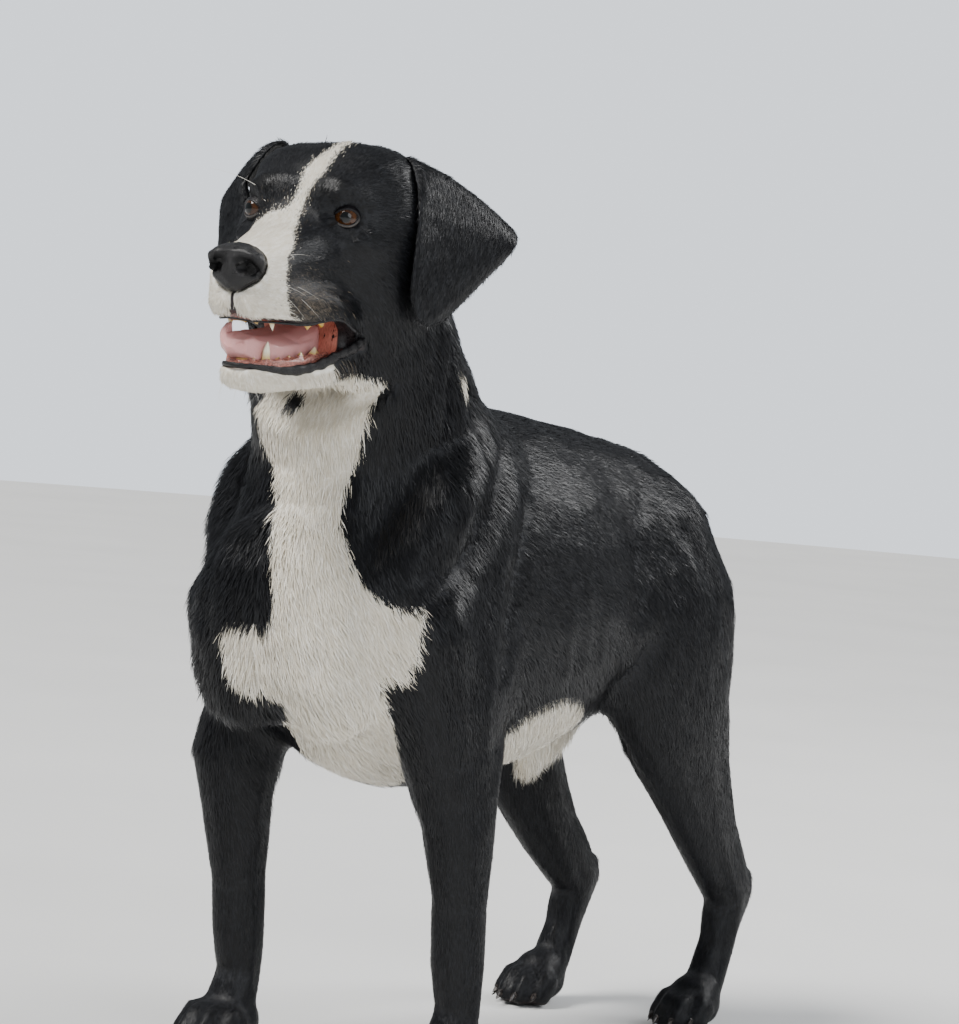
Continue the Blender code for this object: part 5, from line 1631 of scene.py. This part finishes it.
def lay_floor(settings):
    """A round, pale floor just under the paws."""
    made, tree, shader = material("pale floor", Specular_IOR_Level=0.3)
    tone = noise(tree, 3.0, 4.0, add(tree, "TexCoord").outputs["Object"])
    finish(tree, shader, blend(tree, tone, colour4(settings.floor_colour, 0.96),
                               colour4(settings.floor_colour)),
           spread(tree, tone, 0.3, 0.7, 0.6, 0.75))
    bm = bmesh.new()
    bmesh.ops.create_circle(bm, cap_ends=True, radius=FLOOR_RADIUS, segments=96)
    mesh = bpy.data.meshes.new("floor")
    bm.to_mesh(mesh)
    bm.free()
    floor = bpy.data.objects.new("floor", mesh)
    floor.location.z = -FLOOR_GAP
    mesh.materials.append(made)
    bpy.context.scene.collection.objects.link(floor)


def light_room(settings):
    """Soft light all round, one main light, and two that fill and edge."""
    world = bpy.data.worlds.new("studio")
    world.use_nodes = True
    tree = world.node_tree
    around = tree.nodes["Background"]
    around.inputs["Color"].default_value = (0.88, 0.93, 1.0, 1)
    seen = add(tree, "LightPath").outputs["Is Camera Ray"]
    feed(tree, around.inputs["Strength"],
         calculate(tree, "MULTIPLY_ADD", seen, BACKDROP_STRENGTH, ROOM_STRENGTH))
    bpy.context.scene.world = world
    set_lamp("main light", "SUN", (0, 0, 0), (0.30, 0.62, -1.0), energy=settings.key_power,
             angle=math.radians(28), color=(1.0, 0.985, 0.96))
    for name, place, wide, power, tint in (
        ("fill light", (3.0, -1.4, 1.6), 2.4, settings.fill_power, (0.93, 0.96, 1.0)),
        ("back light", (1.6, 2.6, 2.6), 1.8, settings.back_power, (1.0, 1.0, 1.0)),
    ):
        set_lamp(name, "AREA", place, LIT_POINT - Vector(place), shape="DISK", size=wide,
                 energy=power, color=tint)


def set_camera(distance):
    """Looks at the dog from in front of its left side, a little rolled."""
    azimuth, height, roll = map(math.radians, (CAMERA_AZIMUTH, CAMERA_HEIGHT, CAMERA_ROLL))
    back = Vector((math.sin(azimuth) * math.cos(height), -math.cos(azimuth) * math.cos(height),
                   math.sin(height)))
    right = Vector((math.cos(azimuth), math.sin(azimuth), 0))
    up = back.cross(right)
    turned = right * math.cos(roll) + up * math.sin(roll)
    upward = back.cross(turned)
    data = bpy.data.cameras.new("camera")
    data.lens, data.sensor_width, data.sensor_fit = CAMERA_LENS, SENSOR, "AUTO"
    data.clip_start, data.clip_end = 0.05, 60.0
    camera = bpy.data.objects.new("camera", data)
    camera.matrix_world = Matrix.Translation(
        Vector(CAMERA_TARGET) + back * distance
    ) @ Matrix((turned, upward, back)).transposed().to_4x4()
    bpy.context.scene.collection.objects.link(camera)
    bpy.context.scene.camera = camera


def build_stage(context):
    """The floor, the lights and the camera."""
    settings = context.scene.dog_stage
    lay_floor(settings)
    light_room(settings)
    set_camera(settings.camera_distance)


# ---------------------------------------------------------------- operators


class DOG_OT_skin(bpy.types.Operator):
    """Lay one skin over the flesh, under the coat's depth"""

    bl_idname = "dog.build_skin"
    bl_label = "Skin"

    def execute(self, context):
        build_skin(context)
        return {"FINISHED"}


class DOG_OT_ears(bpy.types.Operator):
    """Skin both ear flaps"""

    bl_idname = "dog.build_ears"
    bl_label = "Ears"

    def execute(self, context):
        build_ears(context)
        return {"FINISHED"}


class DOG_OT_coat(bpy.types.Operator):
    """Grow the black and the white tufts along the lie of the coat"""

    bl_idname = "dog.build_coat"
    bl_label = "Coat"

    def execute(self, context):
        build_coat(context)
        return {"FINISHED"}


class DOG_OT_eyes(bpy.types.Operator):
    """Set both eyes in their lids"""

    bl_idname = "dog.build_eyes"
    bl_label = "Eyes and lids"

    def execute(self, context):
        build_eyes(context)
        return {"FINISHED"}


class DOG_OT_nose(bpy.types.Operator):
    """Shape the nose leather and its nostrils"""

    bl_idname = "dog.build_nose"
    bl_label = "Nose"

    def execute(self, context):
        build_nose(context)
        return {"FINISHED"}


class DOG_OT_mouth(bpy.types.Operator):
    """Shape the tongue, the teeth and the gums"""

    bl_idname = "dog.build_mouth"
    bl_label = "Tongue and teeth"

    def execute(self, context):
        build_mouth(context)
        return {"FINISHED"}


class DOG_OT_claws(bpy.types.Operator):
    """Shape the claws"""

    bl_idname = "dog.build_claws"
    bl_label = "Claws"

    def execute(self, context):
        build_claws(context)
        return {"FINISHED"}


class DOG_OT_whiskers(bpy.types.Operator):
    """Grow the whiskers of the lips, chin, cheeks and brows"""

    bl_idname = "dog.build_whiskers"
    bl_label = "Whiskers"

    def execute(self, context):
        build_whiskers(context)
        return {"FINISHED"}


class DOG_OT_stage(bpy.types.Operator):
    """Lay the floor and set the lights and the camera"""

    bl_idname = "dog.build_stage"
    bl_label = "Stage"

    def execute(self, context):
        build_stage(context)
        return {"FINISHED"}


OPERATORS = (DOG_OT_skin, DOG_OT_ears, DOG_OT_eyes, DOG_OT_nose, DOG_OT_mouth, DOG_OT_claws,
             DOG_OT_coat, DOG_OT_whiskers, DOG_OT_stage)
SETTINGS = (("dog_coat", DogCoatSettings), ("dog_head", DogHeadSettings),
            ("dog_stage", DogStageSettings))


class DOG_PT_panel(bpy.types.Panel):
    """Lists the dog's pieces and settings"""

    bl_label = "Dog"
    bl_space_type = "VIEW_3D"
    bl_region_type = "UI"
    bl_category = "Dog"

    def draw(self, context):
        for operator in OPERATORS:
            self.layout.operator(operator.bl_idname)
        for name, kind in SETTINGS:
            box = self.layout.box()
            for key in kind.__annotations__:
                box.prop(getattr(context.scene, name), key)


def register():
    for kind in (*(k for _, k in SETTINGS), *OPERATORS, DOG_PT_panel):
        bpy.utils.register_class(kind)
    for name, kind in SETTINGS:
        setattr(bpy.types.Scene, name, bpy.props.PointerProperty(type=kind))


def unregister():
    for name, _ in SETTINGS:
        delattr(bpy.types.Scene, name)
    for kind in (DOG_PT_panel, *reversed(OPERATORS), *(k for _, k in SETTINGS)):
        bpy.utils.unregister_class(kind)


def main():
    register()
    for operator in OPERATORS:
        module, name = operator.bl_idname.split(".")
        result = getattr(getattr(bpy.ops, module), name)()
        if result != {"FINISHED"}:
            raise RuntimeError(operator.bl_idname + " did not finish")


if __name__ == "__main__":
    main()
